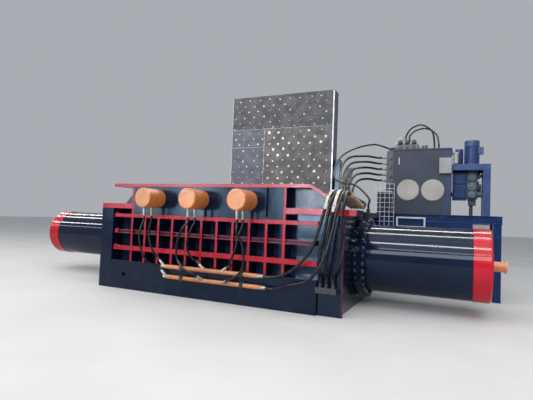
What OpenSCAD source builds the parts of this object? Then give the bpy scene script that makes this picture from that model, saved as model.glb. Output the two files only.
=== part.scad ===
// Twin ram scrap metal baler with a hinged chamber lid and its hydraulic power unit.
// X runs along the two pressing rams, Y points to the rear of the machine, Z up from the floor.
// All lengths are millimetres. Measures are taken from the first front rib, then moved to the centre.

/* [Front ribs] */
// Spacing of the upright front ribs
rib_pitch = 327; // [300:1:360]
// Number of bays between the first and the last upright rib
rib_bays = 10; // [9:1:12]
// Thickness of an upright rib
rib_t = 45; // [25:1:70]
// Depth of the ribs in front of the wall plates
rib_d = 300; // [220:5:360]
// Height of the plain lower panel
base_h = 558; // [500:1:620]
// Centre height of the lower horizontal rib
low_rib_z = 818; // [740:1:860]
// Height of the lower horizontal rib
low_rib_t = 90; // [50:1:110]
// Centre height of the channel section between the ribs
mid_rib_z = 1145; // [1000:1:1200]
// Height of the channel section
mid_rib_t = 76; // [50:1:90]
// Centre height of the upper horizontal rib
up_rib_z = 1464; // [1380:1:1480]
// Height of the upper horizontal rib
up_rib_t = 70; // [40:1:90]

/* [Chamber] */
// Inner width of the chamber between the side liners
chamber_w = 2100; // [1800:10:2300]
// Height of the chamber floor above the ground
floor_z = 430; // [400:5:480]
// Start of the chamber behind the first rib
chamber_x0 = 520; // [450:5:600]
// Distance from the chamber end to the last rib
chamber_x1_gap = 30; // [20:1:80]
// Thickness of a box wall between ribs and liner
wall_t = 160; // [120:5:200]
// Thickness of a wear liner
liner_t = 40; // [25:1:60]
// Thickness of the channel covers on both sides of the lid
cover_t = 100; // [60:1:120]
// Underside height of the channel covers
cover_z = 1605; // [1580:1:1640]

/* [Lock beam] */
// Top height of the red top rail
rail_top_z = 2104; // [2060:1:2160]
// Thickness of the top rail
rail_t = 60; // [30:1:80]
// Thickness of the beam plates
beam_plate = 60; // [40:1:90]

/* [Ends] */
// Length of the solid left end block
left_block_l = 300; // [240:5:360]
// Length of the left channel in front of the first rib
left_channel_l = 510; // [450:5:600]
// Length of the right channel behind the last rib
right_channel_l = 590; // [560:5:680]
// Length of the solid right end block
right_block_l = 360; // [300:5:420]
// Set back of the right end block from the rib fronts
right_block_back = 60; // [40:1:140]
// Projection of the floor skids past the left end
skid_out = 300; // [150:5:400]
// Height of the floor skids
skid_h = 120; // [90:1:160]

/* [Right cylinder] */
// Height of the right cylinder axis
right_z = 860; // [840:1:920]
// Outer radius of the right barrel
right_r = 610; // [580:1:640]
// Bore radius of the right barrel
right_bore_r = 480; // [450:1:520]
// Rod radius of the right ram
right_rod_r = 340; // [250:1:380]
// Length of the right barrel
right_len = 1740; // [1600:5:2000]
// Length of the red right end cap
right_cap_l = 280; // [200:1:320]
// Radius of the barrel flange
flange_r = 735; // [725:1:760]
// Thickness of the barrel flange
flange_t = 90; // [60:1:110]
// Length of the neck between the end block and the flange
neck_l = 80; // [74:1:100]
// Number of flange bolts
bolt_n = 32; // [24:1:36]
// Shank radius of a flange bolt
bolt_r = 24; // [16:1:28]

/* [Left cylinder] */
// Height of the left cylinder axis
left_z = 940; // [900:1:960]
// Outer radius of the left barrel
left_r = 530; // [490:1:560]
// Bore radius of the left barrel
left_bore_r = 410; // [380:1:440]
// Rod radius of the left ram
left_rod_r = 290; // [220:1:320]
// Length of the left barrel
left_len = 2560; // [2300:5:2700]
// Length of the red left end cap
left_cap_l = 330; // [200:1:380]

/* [Rams] */
// Length of a ram head
ram_len = 600; // [480:5:620]
// Running gap between a ram head and the liners
ram_gap = 8; // [4:1:15]
// Length of a piston
piston_l = 200; // [150:5:260]
// Length of a rod gland
gland_l = 150; // [100:5:200]
// Running clearance of rods, pistons and pins
fit = 0.05; // [0.02:0.01:0.09]

/* [Lid] */
// Side gap between the lid and the channel covers
lid_gap = 10; // [6:1:20]
// Height of the hinge axis
hinge_z = 1900; // [1880:1:1960]
// Distance of the hinge axis behind the chamber rear liner
hinge_back = 600; // [580:1:680]
// Distance from the hinge axis to the liner face of the lid
lid_face = 280; // [260:1:284]
// Thickness of the lid with its ribs
lid_t = 320; // [290:1:340]
// Distance from the hinge axis to the locking edge
lid_reach = 2675; // [2655:1:2685]
// Height of the lid root above the hinge axis
lid_root = 100; // [96:1:120]
// Radius of the hinge pin
hinge_pin_r = 60; // [45:1:70]
// Radius of the hinge eyes
hinge_eye_r = 96; // [85:1:96]
// Distance from the hinge axis to the lever eye
lever_r = 350; // [320:1:380]

/* [Locks] */
// Centre of the first lock cylinder behind the first rib
lock_x0 = 620; // [600:1:660]
// Spacing of the lock cylinders
lock_pitch = 980; // [900:1:1000]
// Height of the lock cylinder axes
lock_z = 1810; // [1780:1:1830]
// Outer radius of a lock cylinder
lock_r = 180; // [160:1:190]
// Length of a lock cylinder in front of the beam
lock_len = 450; // [420:1:480]
// Radius of a lock pin
lock_pin_r = 60; // [50:1:64]
// Travel of a lock pin
lock_travel = 240; // [200:1:255]

/* [Pipes and hoses] */
// Radius of the orange distribution pipes
pipe_r = 38; // [30:1:44]
// Distance of the pipe axis in front of the lower panel
pipe_out = 80; // [70:1:110]
// Height of the upper distribution pipe
pipe_up_z = 545; // [500:1:560]
// Height of the lower distribution pipe
pipe_low_z = 360; // [300:1:400]
// Radius of a lock hose
lock_hose_r = 20; // [14:1:22]
// Radius of a feed hose
feed_hose_r = 25; // [18:1:26]

/* [Power unit] */
// Height of the power unit deck
deck_z = 1730; // [1600:5:1850]
// Height of the deck beams
deck_t = 170; // [120:5:200]
// Length of the oil tank
tank_l = 1190; // [1100:5:1300]
// Depth of the oil tank
tank_w = 1150; // [900:5:1150]
// Height of the oil tank
tank_h = 1430; // [1200:5:1500]
// Radius of a tank cleaning cover
tank_cover_r = 220; // [180:1:235]
// Radius of the main motor
motor_r = 150; // [110:1:160]
// Height of the motor table above the deck
table_h = 1090; // [900:5:1150]
// Spacing of the cooler guard wires
guard_pitch = 104; // [60:1:130]

/* [Hidden] */
$fn = 64;

navy = [0.07, 0.09, 0.16];
red = [0.72, 0.06, 0.12];
orange = [0.90, 0.42, 0.14];
zinc = [0.72, 0.73, 0.72];
steel = [0.45, 0.46, 0.47];
rubber = [0.05, 0.05, 0.06];

// places along X
grid_l = rib_pitch * rib_bays;
chamber_x1 = grid_l - chamber_x1_gap;
left_in = -left_channel_l;
left_out = left_in - left_block_l;
right_in = grid_l + right_channel_l;
right_out = right_in + right_block_l;
flange_x0 = right_out + neck_l;
flange_x1 = flange_x0 + flange_t;
right_cap_x = flange_x1 + right_len;
right_cap_end = right_cap_x + right_cap_l;
left_cap_x = left_out - left_len;
left_cap_end = left_cap_x - left_cap_l;
deck_x0 = right_in + 330;
tank_x0 = right_in + 690;
tank_x1 = tank_x0 + tank_l;
deck_x1 = tank_x1 + 960;

// places along Y
wall_y = rib_d;
liner_y = wall_y + wall_t;
cham_y0 = liner_y + liner_t;
cham_y1 = cham_y0 + chamber_w;
mid_y = cham_y0 + chamber_w / 2;
rear_wall_y0 = cham_y1 + liner_t;
rear_rib_y0 = rear_wall_y0 + wall_t;
body_d = rear_rib_y0 + rib_d;
hinge_y = cham_y1 + hinge_back;
unit_y0 = body_d + 20;
tank_y0 = unit_y0 + 50;
unit_y1 = tank_y0 + tank_w + 100;
pipe_y = -pipe_out;

// heights
floor_low = floor_z - liner_t;
cover_top = cover_z + cover_t;
rail_z = rail_top_z - rail_t;
up_top = up_rib_z + up_rib_t / 2;
ram_top = cover_z - ram_gap;
tank_z1 = deck_z + tank_h;
table_z = deck_z + table_h;
table_x1 = tank_x1 + 750;
motor_x = tank_x1 + 400;
motor_y = tank_y0 + 450;

// lid, open and upright
lid_x0 = chamber_x0 + lid_gap;
lid_x1 = chamber_x1 - lid_gap;
lid_y0 = hinge_y - lid_face;
lid_y1 = lid_y0 + lid_t;
lid_z0 = hinge_z + lid_root;
lid_z1 = hinge_z + lid_reach;
socket_y = hinge_y + (lock_z - hinge_z);
lid_edge = 300;
lock_bore_r = lock_r - 40;
lock_tip = cham_y0 - 20;
lever_c = lever_r * cos(45);
lever_x = [lid_x0 + 370, lid_x1 - 370];
lever_t = 70;
hinge_x = [lid_x0 + 130, lid_x0 + 960, lid_x1 - 960, lid_x1 - 130];
lug_t = 90;
ear_t = 60;
ear_gap = 5;
lid_cyl_y = hinge_y + 0.855 * lever_r;
lid_cyl_z0 = 420;
lid_cyl_l = 760;
lid_cyl_r = 105;
lid_rod_r = 50;
lid_stroke = 2 * lever_c;
lock_x = [lock_x0, lock_x0 + lock_pitch, lock_x0 + 2 * lock_pitch];

// offsets that bring the origin to the middle of the footprint
x_low = left_cap_end;
x_high = max(deck_x1, right_cap_end + 230);
y_low = -lock_len;
ox = (x_low + x_high) / 2;
oy = (y_low + unit_y1) / 2;

// hose ends
port_y = [-lock_len + 70, -170];
port_z = lock_z - lock_r - 150;
tap_l = 150;
// place along the pipe, height, slope and lean to the front of each tap: upper pipe, then lower pipe
taps = [[900, pipe_up_z, 135, 0], [1800, pipe_up_z, 140, 0], [2130, pipe_up_z, 35, 0],
    [950, pipe_low_z, 135, 0], [1790, pipe_low_z, 140, 35], [2190, pipe_low_z, 25, 35]];
pipe_x1 = [2850, 2900];
pipe_end = [2960, 3010];
main_port_x = [3930, 4030, 4140];
main_port_z = 520;
bank_n = 5;
sleeve_x = [for (k = [0:bank_n - 1]) 4090 + 55 * k];
sleeve_a = [150, 1970];
sleeve_b = [1150, 1800];
manifold_x = tank_x0 - 250;
manifold_z = [for (k = [0:bank_n - 1]) 3000 - 130 * k];
manifold_y = tank_y0 + 120;

function tap_dir(t) = [cos(t[2]) * cos(t[3]), -sin(t[3]), sin(t[2]) * cos(t[3])];
function tap_end(t) = [t[0], pipe_y, t[1]] + tap_l * tap_dir(t);
function unit(v) = v / norm(v);

// smooth line through the route points
function spline(a, b, c, d, t) = 0.5 * (2 * b + (c - a) * t + (2 * a - 5 * b + 4 * c - d) * t * t
    + (3 * b - a - 3 * c + d) * t * t * t);
function route(p, m = 2) = concat([for (i = [0:len(p) - 2], k = [0:m - 1])
    spline(p[max(i - 1, 0)], p[i], p[i + 1], p[min(i + 2, len(p) - 1)], k / m)], [p[len(p) - 1]]);

module at_frame() translate([-ox, -oy, 0]) children();
module box(a, b) translate(a) cube(b - a);
module rod_x(x0, x1, y, z, r) translate([x0, y, z]) rotate([0, 90, 0]) cylinder(h = x1 - x0, r = r);
module rod_y(y0, y1, x, z, r) translate([x, y0, z]) rotate([-90, 0, 0]) cylinder(h = y1 - y0, r = r);
module rod_z(z0, z1, x, y, r) translate([x, y, z0]) cylinder(h = z1 - z0, r = r);
// flat plate with its outline in the YZ plane
module plate_yz(x0, t) translate([x0, 0, 0]) rotate([90, 0, 90]) linear_extrude(t) children();
// flat plate with its outline in the XZ plane
module plate_xz(y0, t) translate([0, y0 + t, 0]) rotate([90, 0, 0]) linear_extrude(t) children();

// round hose swept along a smooth route, its ends square to the first and last stretch
module hose(p, r, m = 2) {
    q = route(p, m);
    n = len(q);
    s = 8;
    t = [for (i = [0:n - 1]) i == 0 ? unit(p[1] - p[0])
        : i == n - 1 ? unit(p[len(p) - 1] - p[len(p) - 2]) : unit(q[i + 1] - q[i - 1])];
    side = abs(t[0][2]) > 0.9 ? [1, 0, 0] : [0, 0, 1];
    u = [for (i = 0, v = unit(side - (side * t[0]) * t[0]); i < n; i = i + 1,
        v = i < n ? unit(v - (v * t[i]) * t[i]) : v) v];
    pts = [for (i = [0:n - 1], k = [0:s - 1])
        q[i] + r * (cos(360 * k / s) * u[i] + sin(360 * k / s) * cross(t[i], u[i]))];
    sides = [for (i = [0:n - 2], k = [0:s - 1]) each
        [[i * s + k, (i + 1) * s + k, (i + 1) * s + (k + 1) % s],
        [i * s + k, (i + 1) * s + (k + 1) % s, i * s + (k + 1) % s]]];
    ends = [[for (k = [0:s - 1]) k], [for (k = [0:s - 1]) n * s - 1 - k]];
    polyhedron(points = pts, faces = concat(sides, ends), convexity = 8);
}

// welded base with front and rear beams, floor slab and keel beams
module base_frame() at_frame() color(navy) difference() {
    union() {
        box([left_in, 0, 0], [right_in, liner_y, base_h]);
        box([left_in, rear_wall_y0, 0], [right_in, body_d, base_h]);
        box([left_in, liner_y, floor_low - 160], [right_in, rear_wall_y0, floor_low]);
        for (k = [1:3]) translate([0, liner_y + k * (chamber_w + 2 * liner_t) / 4 - 50, 0])
            box([left_in, 0, 0], [right_in, 100, floor_low - 160]);
    }
    rod_y(-1, 120, -160, 290, 42);
}

// floor plate and side plates that take the wear
module wear_liners() at_frame() color(steel) {
    box([left_in, liner_y, floor_low], [right_in, rear_wall_y0, floor_z]);
    difference() {
        box([left_in, liner_y, floor_z], [right_in, cham_y0, cover_z]);
        box([rib_t / 2, liner_y - 1, up_top], [grid_l - rib_t / 2, cham_y0 + 1, cover_z + 1]);
    }
    box([left_in, cham_y1, floor_z], [right_in, rear_wall_y0, cover_z]);
}

// box walls in front of and behind the chamber, the rear one with its own ribs
module side_walls() at_frame() color(navy) {
    difference() {
        box([left_in, wall_y, base_h], [right_in, liner_y, cover_z]);
        box([rib_t / 2, wall_y - 1, up_top], [grid_l - rib_t / 2, liner_y + 1, cover_z + 1]);
    }
    box([left_in, rear_wall_y0, base_h], [right_in, rear_rib_y0, cover_z]);
    for (n = [0:rib_bays]) box([n * rib_pitch - rib_t / 2, rear_rib_y0, base_h],
        [n * rib_pitch + rib_t / 2, body_d, cover_z - rail_t]);
    box([left_in, rear_rib_y0, cover_z - rail_t], [right_in, body_d, cover_z]);
}

// one long horizontal rib with a round lug at its left end
module long_rib(z, t, x1) {
    box([left_in + 70, 0, z - t / 2], [x1, rib_d, z + t / 2]);
    box([left_in + 10, 60, z - t / 2], [left_in + 71, rib_d, z + t / 2]);
    rod_z(z - t / 2, z + t / 2, left_in + 70, 60, 60);
    rod_z(z + t / 2, z + t / 2 + 26, left_in + 70, 60, 36);
}

// egg crate of upright and horizontal ribs
module front_ribs() at_frame() color(red) difference() {
    union() {
        for (n = [0:rib_bays]) box([n * rib_pitch - rib_t / 2, 0, base_h],
            [n * rib_pitch + rib_t / 2, rib_d, n == 0 || n == rib_bays ? rail_z : up_rib_z]);
        long_rib(low_rib_z, low_rib_t, right_in);
        long_rib(up_rib_z, up_rib_t, right_in);
        difference() {
            translate([0, 14, 0]) long_rib(mid_rib_z, mid_rib_t, right_in - 60);
            box([left_in + 140, 13, mid_rib_z - mid_rib_t / 2 + 12],
                [right_in, 40, mid_rib_z + mid_rib_t / 2 - 12]);
        }
    }
    box([left_in, rib_d, 0], [right_in, rib_d + 100, rail_top_z]);
}

// hollow cross beam that guides the lock pins
module lock_beam() at_frame() color(navy) difference() {
    box([rib_t / 2, 0, up_top], [grid_l - rib_t / 2, cham_y0, rail_z]);
    box([rib_t / 2 + beam_plate, beam_plate, up_top + beam_plate],
        [grid_l - rib_t / 2 - beam_plate, cham_y0 - beam_plate, rail_z - beam_plate]);
    box([grid_l - 340, -1, up_top + 40], [grid_l, beam_plate - 22, rail_z - 1]);
    for (x = lock_x) rod_y(-1, cham_y0 + 1, x, lock_z, lock_pin_r + fit);
}

// red top plate with its sloping end, the right side panel and the left gusset
module top_rail() at_frame() color(red) {
    x1 = right_in - 160;
    xe = right_in + 280;
    box([left_in, 0, rail_z], [x1, cham_y0, rail_top_z]);
    plate_xz(0, rib_d) polygon([[x1, rail_z], [x1, rail_top_z], [xe, rail_top_z - 245],
        [xe, rail_z - 252], [x1 + 8, rail_z - 2]]);
    color(navy) difference() {
        plate_xz(wall_y - 60, 60) polygon([[grid_l + rib_t / 2, cover_top], [xe, cover_top],
            [xe, rail_z - 252], [x1 + 8, rail_z - 2], [x1, rail_z], [grid_l + rib_t / 2, rail_z]]);
        rod_y(wall_y - 61, wall_y + 1, right_in + 50, rail_z - 224, 40);
    }
    color(navy) plate_xz(wall_y - 60, 60) polygon([[-rib_t / 2, cover_top], [-420, cover_top],
        [-110, rail_z], [-rib_t / 2, rail_z]]);
}

// solid left end block with its rod bore and the skid ends
module left_end() at_frame() color(navy) {
    difference() {
        box([left_out, 0, 0], [left_in, body_d, cover_z]);
        rod_x(left_out - 1, left_in + 1, mid_y, left_z, left_rod_r + 15);
    }
    for (y = [wall_y, body_d - wall_y - 180]) difference() {
        box([left_out - skid_out, y, 0], [left_out, y + 180, skid_h]);
        rod_y(y - 1, y + 181, left_out - skid_out + 60, skid_h / 2, 28);
    }
}

// solid right end block with its rod bore
module right_end() at_frame() color(navy) difference() {
    box([right_in, right_block_back, 0], [right_out, body_d - right_block_back, cover_z]);
    rod_x(right_in - 1, right_out + 1, mid_y, right_z, right_rod_r + 15);
}

// thick covers over the ram channels
module channel_covers() at_frame() color(red) {
    box([left_out, cham_y0, cover_z], [chamber_x0, body_d, cover_top]);
    box([left_out, 0, cover_z], [-rib_t / 2, cham_y0, cover_top]);
    box([chamber_x1, cham_y0, cover_z], [right_out + 70, body_d, cover_top]);
    box([grid_l + rib_t / 2, 0, cover_z], [right_out + 70, cham_y0, cover_top]);
}

// outline of a bracket plate that carries the hinge pin
module ear_outline() difference() {
    union() {
        translate([hinge_y, hinge_z]) circle(hinge_eye_r);
        polygon([[body_d, cover_z - 420], [body_d + 70, cover_z - 440],
            [hinge_y + hinge_eye_r, cover_z - 60], [hinge_y + hinge_eye_r, hinge_z],
            [hinge_y - 80, hinge_z], [hinge_y - 80, cover_z + 10], [body_d, cover_z - 4]]);
    }
    translate([hinge_y, hinge_z]) circle(hinge_pin_r + fit);
}

module hinge_ears() at_frame() color(navy) for (x = hinge_x, s = [-1, 1])
    plate_yz(x + s * (lug_t / 2 + ear_gap + ear_t / 2) - ear_t / 2, ear_t) ear_outline();

module hinge_pins() at_frame() color(steel) for (x = hinge_x) {
    w = lug_t / 2 + ear_gap + ear_t;
    rod_x(x - w - 25, x + w + 25, hinge_y, hinge_z, hinge_pin_r);
    difference() {
        union() for (s = [-1, 1]) rod_x(x + s * (w + 13) - 12, x + s * (w + 13) + 12, hinge_y,
            hinge_z, hinge_pin_r + 18);
        rod_x(x - w - 30, x + w + 30, hinge_y, hinge_z, hinge_pin_r);
    }
}

// cylinder barrels, the right one with its neck and bolted flange
module barrels() at_frame() color(navy) {
    difference() {
        rod_x(left_cap_x, left_out, mid_y, left_z, left_r);
        rod_x(left_cap_x - 1, left_out + 1, mid_y, left_z, left_bore_r);
    }
    difference() {
        union() {
            rod_x(right_out, flange_x0, mid_y, right_z, flange_r - 95);
            rod_x(flange_x0, flange_x1, mid_y, right_z, flange_r);
            rod_x(flange_x1, right_cap_x, mid_y, right_z, right_r);
        }
        rod_x(right_out - 1, right_cap_x + 1, mid_y, right_z, right_bore_r);
        for (k = [0:bolt_n - 1]) translate([0, mid_y, right_z]) rotate([360 * (k + 0.5) / bolt_n, 0, 0])
            rod_x(flange_x0 - 1, flange_x1 + 1, 0, flange_r - 45, bolt_r + 2);
    }
}

// red cap turned with bevelled rims
module end_cap(r, l) rotate([0, 90, 0]) rotate_extrude()
    polygon([[0, 0], [r + 10, 0], [r + 10, l - 26], [r - 16, l], [r - 90, l], [r - 110, l - 22],
        [0, l - 22]]);

module end_caps() at_frame() color(red) {
    translate([right_cap_x, mid_y, right_z]) end_cap(right_r, right_cap_l);
    translate([left_cap_x, mid_y, left_z]) mirror([1, 0, 0]) end_cap(left_r, left_cap_l);
}

module rod_glands() at_frame() color(steel) {
    difference() {
        rod_x(left_out - gland_l, left_out, mid_y, left_z, left_bore_r - fit);
        rod_x(left_out - gland_l - 1, left_out + 1, mid_y, left_z, left_rod_r + fit);
    }
    difference() {
        rod_x(right_out, right_out + gland_l, mid_y, right_z, right_bore_r - fit);
        rod_x(right_out - 1, right_out + gland_l + 1, mid_y, right_z, right_rod_r + fit);
    }
}

// through bolts with hexagon heads and nuts
module flange_bolts() at_frame() color(zinc) for (k = [0:bolt_n - 1])
    translate([0, mid_y, right_z]) rotate([360 * (k + 0.5) / bolt_n, 0, 0])
        translate([0, 0, flange_r - 45]) rotate([0, 90, 0]) union() {
            translate([0, 0, flange_x0 - 46]) cylinder(h = flange_t + 82, r = bolt_r);
            translate([0, 0, flange_x0 - 36]) cylinder(h = 36, r = bolt_r * 1.55, $fn = 6);
            translate([0, 0, flange_x1]) cylinder(h = 36, r = bolt_r * 1.55, $fn = 6);
        }

// oil ports at the end of the right cylinder and on top of its flange
module end_ports() at_frame() {
    color(orange) union() {
        rod_x(right_cap_end - 22, right_cap_end + 18, mid_y, right_z, 130);
        rod_x(right_cap_end + 17, right_cap_end + 200, mid_y, right_z, 86);
        rod_x(right_cap_end + 199, right_cap_end + 230, mid_y, right_z, 104);
    }
    color(rubber) union() {
        difference() {
            box([flange_x0 + 4, mid_y - 60, right_z + flange_r - 60],
                [flange_x1 - 4, mid_y + 60, right_z + flange_r + 90]);
            rod_x(flange_x0 - 1, flange_x1 + 1, mid_y, right_z, flange_r);
        }
        rod_z(right_z + flange_r + 89, right_z + flange_r + 165, (flange_x0 + flange_x1) / 2, mid_y, 34);
    }
    color(zinc) union() {
        box([main_port_x[0] - 70, right_block_back - 120, main_port_z - 150],
            [main_port_x[2] + 60, right_block_back, main_port_z - 60]);
        for (x = main_port_x) rod_z(main_port_z - 61, main_port_z, x, right_block_back - 70, 31);
    }
}

// three short lock cylinders, turned, with a spot face under each port
module lock_cylinders() at_frame() color(orange) for (x = lock_x) difference() {
    translate([x, -lock_len, lock_z]) rotate([-90, 0, 0]) rotate_extrude()
        polygon([[0, 0], [lock_r - 14, 0], [lock_r, 14], [lock_r, lock_len], [lock_bore_r, lock_len],
            [lock_bore_r, 50], [0, 50]]);
    for (y = port_y) rod_z(lock_z - lock_r - 5, lock_z - lock_r + 6, x, y, 36);
}

// hexagon body with a crimped sleeve, from the origin along +Z
module fitting(l, r) union() {
    cylinder(h = l * 0.42, r = r * 1.18, $fn = 6);
    cylinder(h = l, r = r);
    translate([0, 0, l * 0.55]) cylinder(h = l * 0.1, r = r * 1.12);
}

module hose_fittings() at_frame() color(zinc) {
    for (x = lock_x, y = port_y) translate([x, y, lock_z - lock_r + 6]) mirror([0, 0, 1])
        fitting(lock_z - lock_r + 6 - port_z, lock_hose_r + 5);
    for (i = [0:5]) {
        first = i == 0 || i == 3;
        t = taps[i];
        d = tap_dir(t);
        difference() {
            union() {
                translate([t[0], pipe_y, t[1]]) rotate([0, acos(d[2]), atan2(d[1], d[0])])
                    fitting(tap_l, lock_hose_r + 5);
                if (first) rod_x(t[0] - 45, t[0] + 46, pipe_y, t[1], pipe_r - 4);
                if (first) translate([t[0] - 42, pipe_y, t[1]]) sphere(pipe_r - 5);
            }
            if (first) rod_x(t[0] + 45, t[0] + 400, pipe_y, t[1], pipe_r + 20);
            else rod_x(t[0] - 400, t[0] + 400, pipe_y, t[1], pipe_r);
        }
    }
    for (i = [0, 1]) translate([pipe_x1[i], pipe_y, i == 0 ? pipe_up_z : pipe_low_z])
        rotate([0, 90, 0]) fitting(pipe_end[i] - pipe_x1[i], feed_hose_r + 6);
}

module distribution_pipes() at_frame() color(orange) {
    rod_x(taps[0][0] + 45, pipe_x1[0], pipe_y, pipe_up_z, pipe_r);
    rod_x(taps[3][0] + 45, pipe_x1[1], pipe_y, pipe_low_z, pipe_r);
}

// split blocks that hold the pipes to the lower panel
module pipe_clamps() at_frame() color(rubber) for (x = [1320, 2560], z = [pipe_low_z, pipe_up_z])
    difference() {
        box([x - 28, pipe_y - pipe_r - 16, z - pipe_r - 16], [x + 28, 0, z + pipe_r + 13]);
        rod_x(x - 30, x + 30, pipe_y, z, pipe_r + fit);
    }

// leaning plate behind the hose arch
module hose_guard() at_frame() color([0.35, 0.36, 0.38]) {
    plate_xz(lid_y0 - 80, 20) polygon([[grid_l + 110, cover_top], [grid_l + 290, cover_top],
        [grid_l + 470, cover_top + 1015], [grid_l + 330, cover_top + 1015]]);
    box([grid_l + 100, lid_y0 - 60, cover_top], [grid_l + 300, lid_y0, cover_top + 24]);
}

module stadium(x0, x1, r) union() {
    translate([x0, -r]) square([x1 - x0, 2 * r]);
    translate([x0, 0]) circle(r);
    translate([x1, 0]) circle(r);
}

// flat wrap round the row of hoses
module hose_sleeve() at_frame() color([0.62, 0.42, 0.28]) {
    d = sleeve_b - sleeve_a;
    translate([0, sleeve_a[0], sleeve_a[1]]) rotate([atan2(d[1], d[0]) - 90, 0, 0])
        linear_extrude(norm(d)) difference() {
            stadium(sleeve_x[0], sleeve_x[bank_n - 1], feed_hose_r + 16);
            stadium(sleeve_x[0], sleeve_x[bank_n - 1], feed_hose_r + 0.4);
        }
}

// barrels of the lid cylinders on their consoles behind the rear beam
module lid_cylinders() at_frame() color(navy) for (x = lever_x) {
    plate_yz(x - 90, 180) polygon([[body_d, lid_cyl_z0 - 260], [body_d, lid_cyl_z0],
        [lid_cyl_y + 115, lid_cyl_z0], [lid_cyl_y + 115, lid_cyl_z0 - 60]]);
    difference() {
        rod_z(lid_cyl_z0, lid_cyl_z0 + lid_cyl_l, x, lid_cyl_y, lid_cyl_r);
        rod_z(lid_cyl_z0 + 40, lid_cyl_z0 + lid_cyl_l - 60, x, lid_cyl_y, lid_cyl_r - 20);
        rod_z(lid_cyl_z0 + 60, lid_cyl_z0 + lid_cyl_l + 1, x, lid_cyl_y, lid_rod_r + fit);
    }
}

// rod of a lid cylinder with its piston and slotted fork
module lid_rod(x) {
    z = hinge_z - lever_c;
    slot = lever_r * 0.148 + 40;
    w = lever_t / 2 + 6;
    color(zinc) union() {
        rod_z(lid_cyl_z0 + 60, lid_cyl_z0 + 160, x, lid_cyl_y, lid_cyl_r - 20 - fit);
        rod_z(lid_cyl_z0 + 159, z - 190, x, lid_cyl_y, lid_rod_r);
        box([x - w - 34, lid_cyl_y - 130, z - 250], [x + w + 34, lid_cyl_y + 130, z - 175]);
        for (s = [-1, 1]) plate_yz(x + s * (w + 17) - 17, 34) difference() {
            translate([lid_cyl_y - 130, z - 176]) square([260, 266]);
            translate([lid_cyl_y - slot + 49, z - 49]) square([2 * slot - 98, 98]);
            for (u = [-1, 1]) translate([lid_cyl_y + u * (slot - 49), z]) circle(49);
        }
    }
}
module lid_rod_left() at_frame() lid_rod(lever_x[0]);
module lid_rod_right() at_frame() lid_rod(lever_x[1]);

// ribbed lid box with sockets for the lock pins in its free edge
module lid_frame() at_frame() color(navy) difference() {
    box([lid_x0, lid_y0 + liner_t, lid_z0], [lid_x1, lid_y1, lid_z1]);
    nx = 6;
    nz = 4;
    px = (lid_x1 - lid_x0 - 120 - (nx - 1) * 40) / nx;
    pz = (lid_z1 - lid_edge - lid_z0 - 60 - (nz - 1) * 40) / nz;
    for (i = [0:nx - 1], k = [0:nz - 1]) translate([lid_x0 + 60 + i * (px + 40),
        lid_y0 + liner_t + 60, lid_z0 + 60 + k * (pz + 40)]) cube([px, lid_t, pz]);
    for (x = lock_x) rod_z(lid_z1 - lid_edge + 40, lid_z1 + 1, x, socket_y, lock_pin_r + 4);
}

// four wear plates on the pressing face of the lid, split by narrow seams
module lid_liner() at_frame() color(steel) {
    xs = lid_x0 + 920;
    za = lid_z0 + 1280;
    zb = lid_z0 + 1740;
    g = 3;
    box([lid_x0, lid_y0, zb + g], [lid_x1, lid_y0 + liner_t, lid_z1]);
    box([lid_x0, lid_y0, za + g], [xs - g, lid_y0 + liner_t, zb - g]);
    box([lid_x0, lid_y0, lid_z0], [xs - g, lid_y0 + liner_t, za - g]);
    box([xs + g, lid_y0, lid_z0], [lid_x1, lid_y0 + liner_t, zb - g]);
}

// hinge lugs, the two levers with their pins, and the side arm
module lid_lugs() at_frame() color(navy) {
    for (x = hinge_x) plate_yz(x - lug_t / 2, lug_t) difference() {
        union() {
            translate([hinge_y, hinge_z]) circle(hinge_eye_r);
            polygon([[hinge_y - hinge_eye_r, hinge_z], [hinge_y + hinge_eye_r, hinge_z],
                [lid_y1 - 10, lid_z0], [lid_y0 + liner_t + 40, lid_z0], [lid_y0 + liner_t + 40, lid_z0 - 12]]);
        }
        translate([hinge_y, hinge_z]) circle(hinge_pin_r + fit);
    }
    for (x = lever_x) union() {
        plate_yz(x - lever_t / 2, lever_t) union() {
            translate([hinge_y, hinge_z]) circle(hinge_eye_r);
            polygon([[hinge_y - hinge_eye_r + 6, hinge_z], [hinge_y + hinge_eye_r - 6, hinge_z],
                [lid_y1 - 10, lid_z0], [lid_y0 + liner_t + 40, lid_z0], [lid_y0 + liner_t + 40, lid_z0 - 12]]);
            translate([hinge_y, hinge_z]) rotate(-45) translate([0, -56]) square([lever_r, 112]);
            translate([hinge_y + lever_c, hinge_z - lever_c]) circle(64);
        }
        rod_x(x - lever_t / 2 - 44, x + lever_t / 2 + 44, hinge_y + lever_c, hinge_z - lever_c, 34);
    }
    box([lid_x1, hinge_y - 160, lid_z0 + 50], [lid_x1 + 140, hinge_y + 30, lid_z0 + 940]);
}

// ram heads with a thick face plate and a narrower box body
module ram_head(x0, s) {
    y0 = cham_y0 + ram_gap;
    y1 = cham_y1 - ram_gap;
    xa = s > 0 ? x0 : x0 - 120;
    xb = s > 0 ? x0 : x0 - ram_len;
    box([xa, y0, floor_z + 0.3], [xa + 120, y1, ram_top]);
    difference() {
        box([xb, y0 + 40, floor_z + 0.3], [xb + ram_len, y1 - 40, ram_top - 60]);
        for (k = [0:2]) box([xb - 1 + (s > 0 ? 181 : 60), y0 + 120 + k * (y1 - y0 - 200) / 3, ram_top - 200],
            [xb - 1 + (s > 0 ? ram_len - 60 : ram_len - 179), y0 + 60 + (k + 1) * (y1 - y0 - 200) / 3, ram_top]);
    }
}
module right_ram() at_frame() color(steel) union() ram_head(chamber_x1, 1);
module left_ram() at_frame() color(steel) union() ram_head(chamber_x0, -1);

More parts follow.
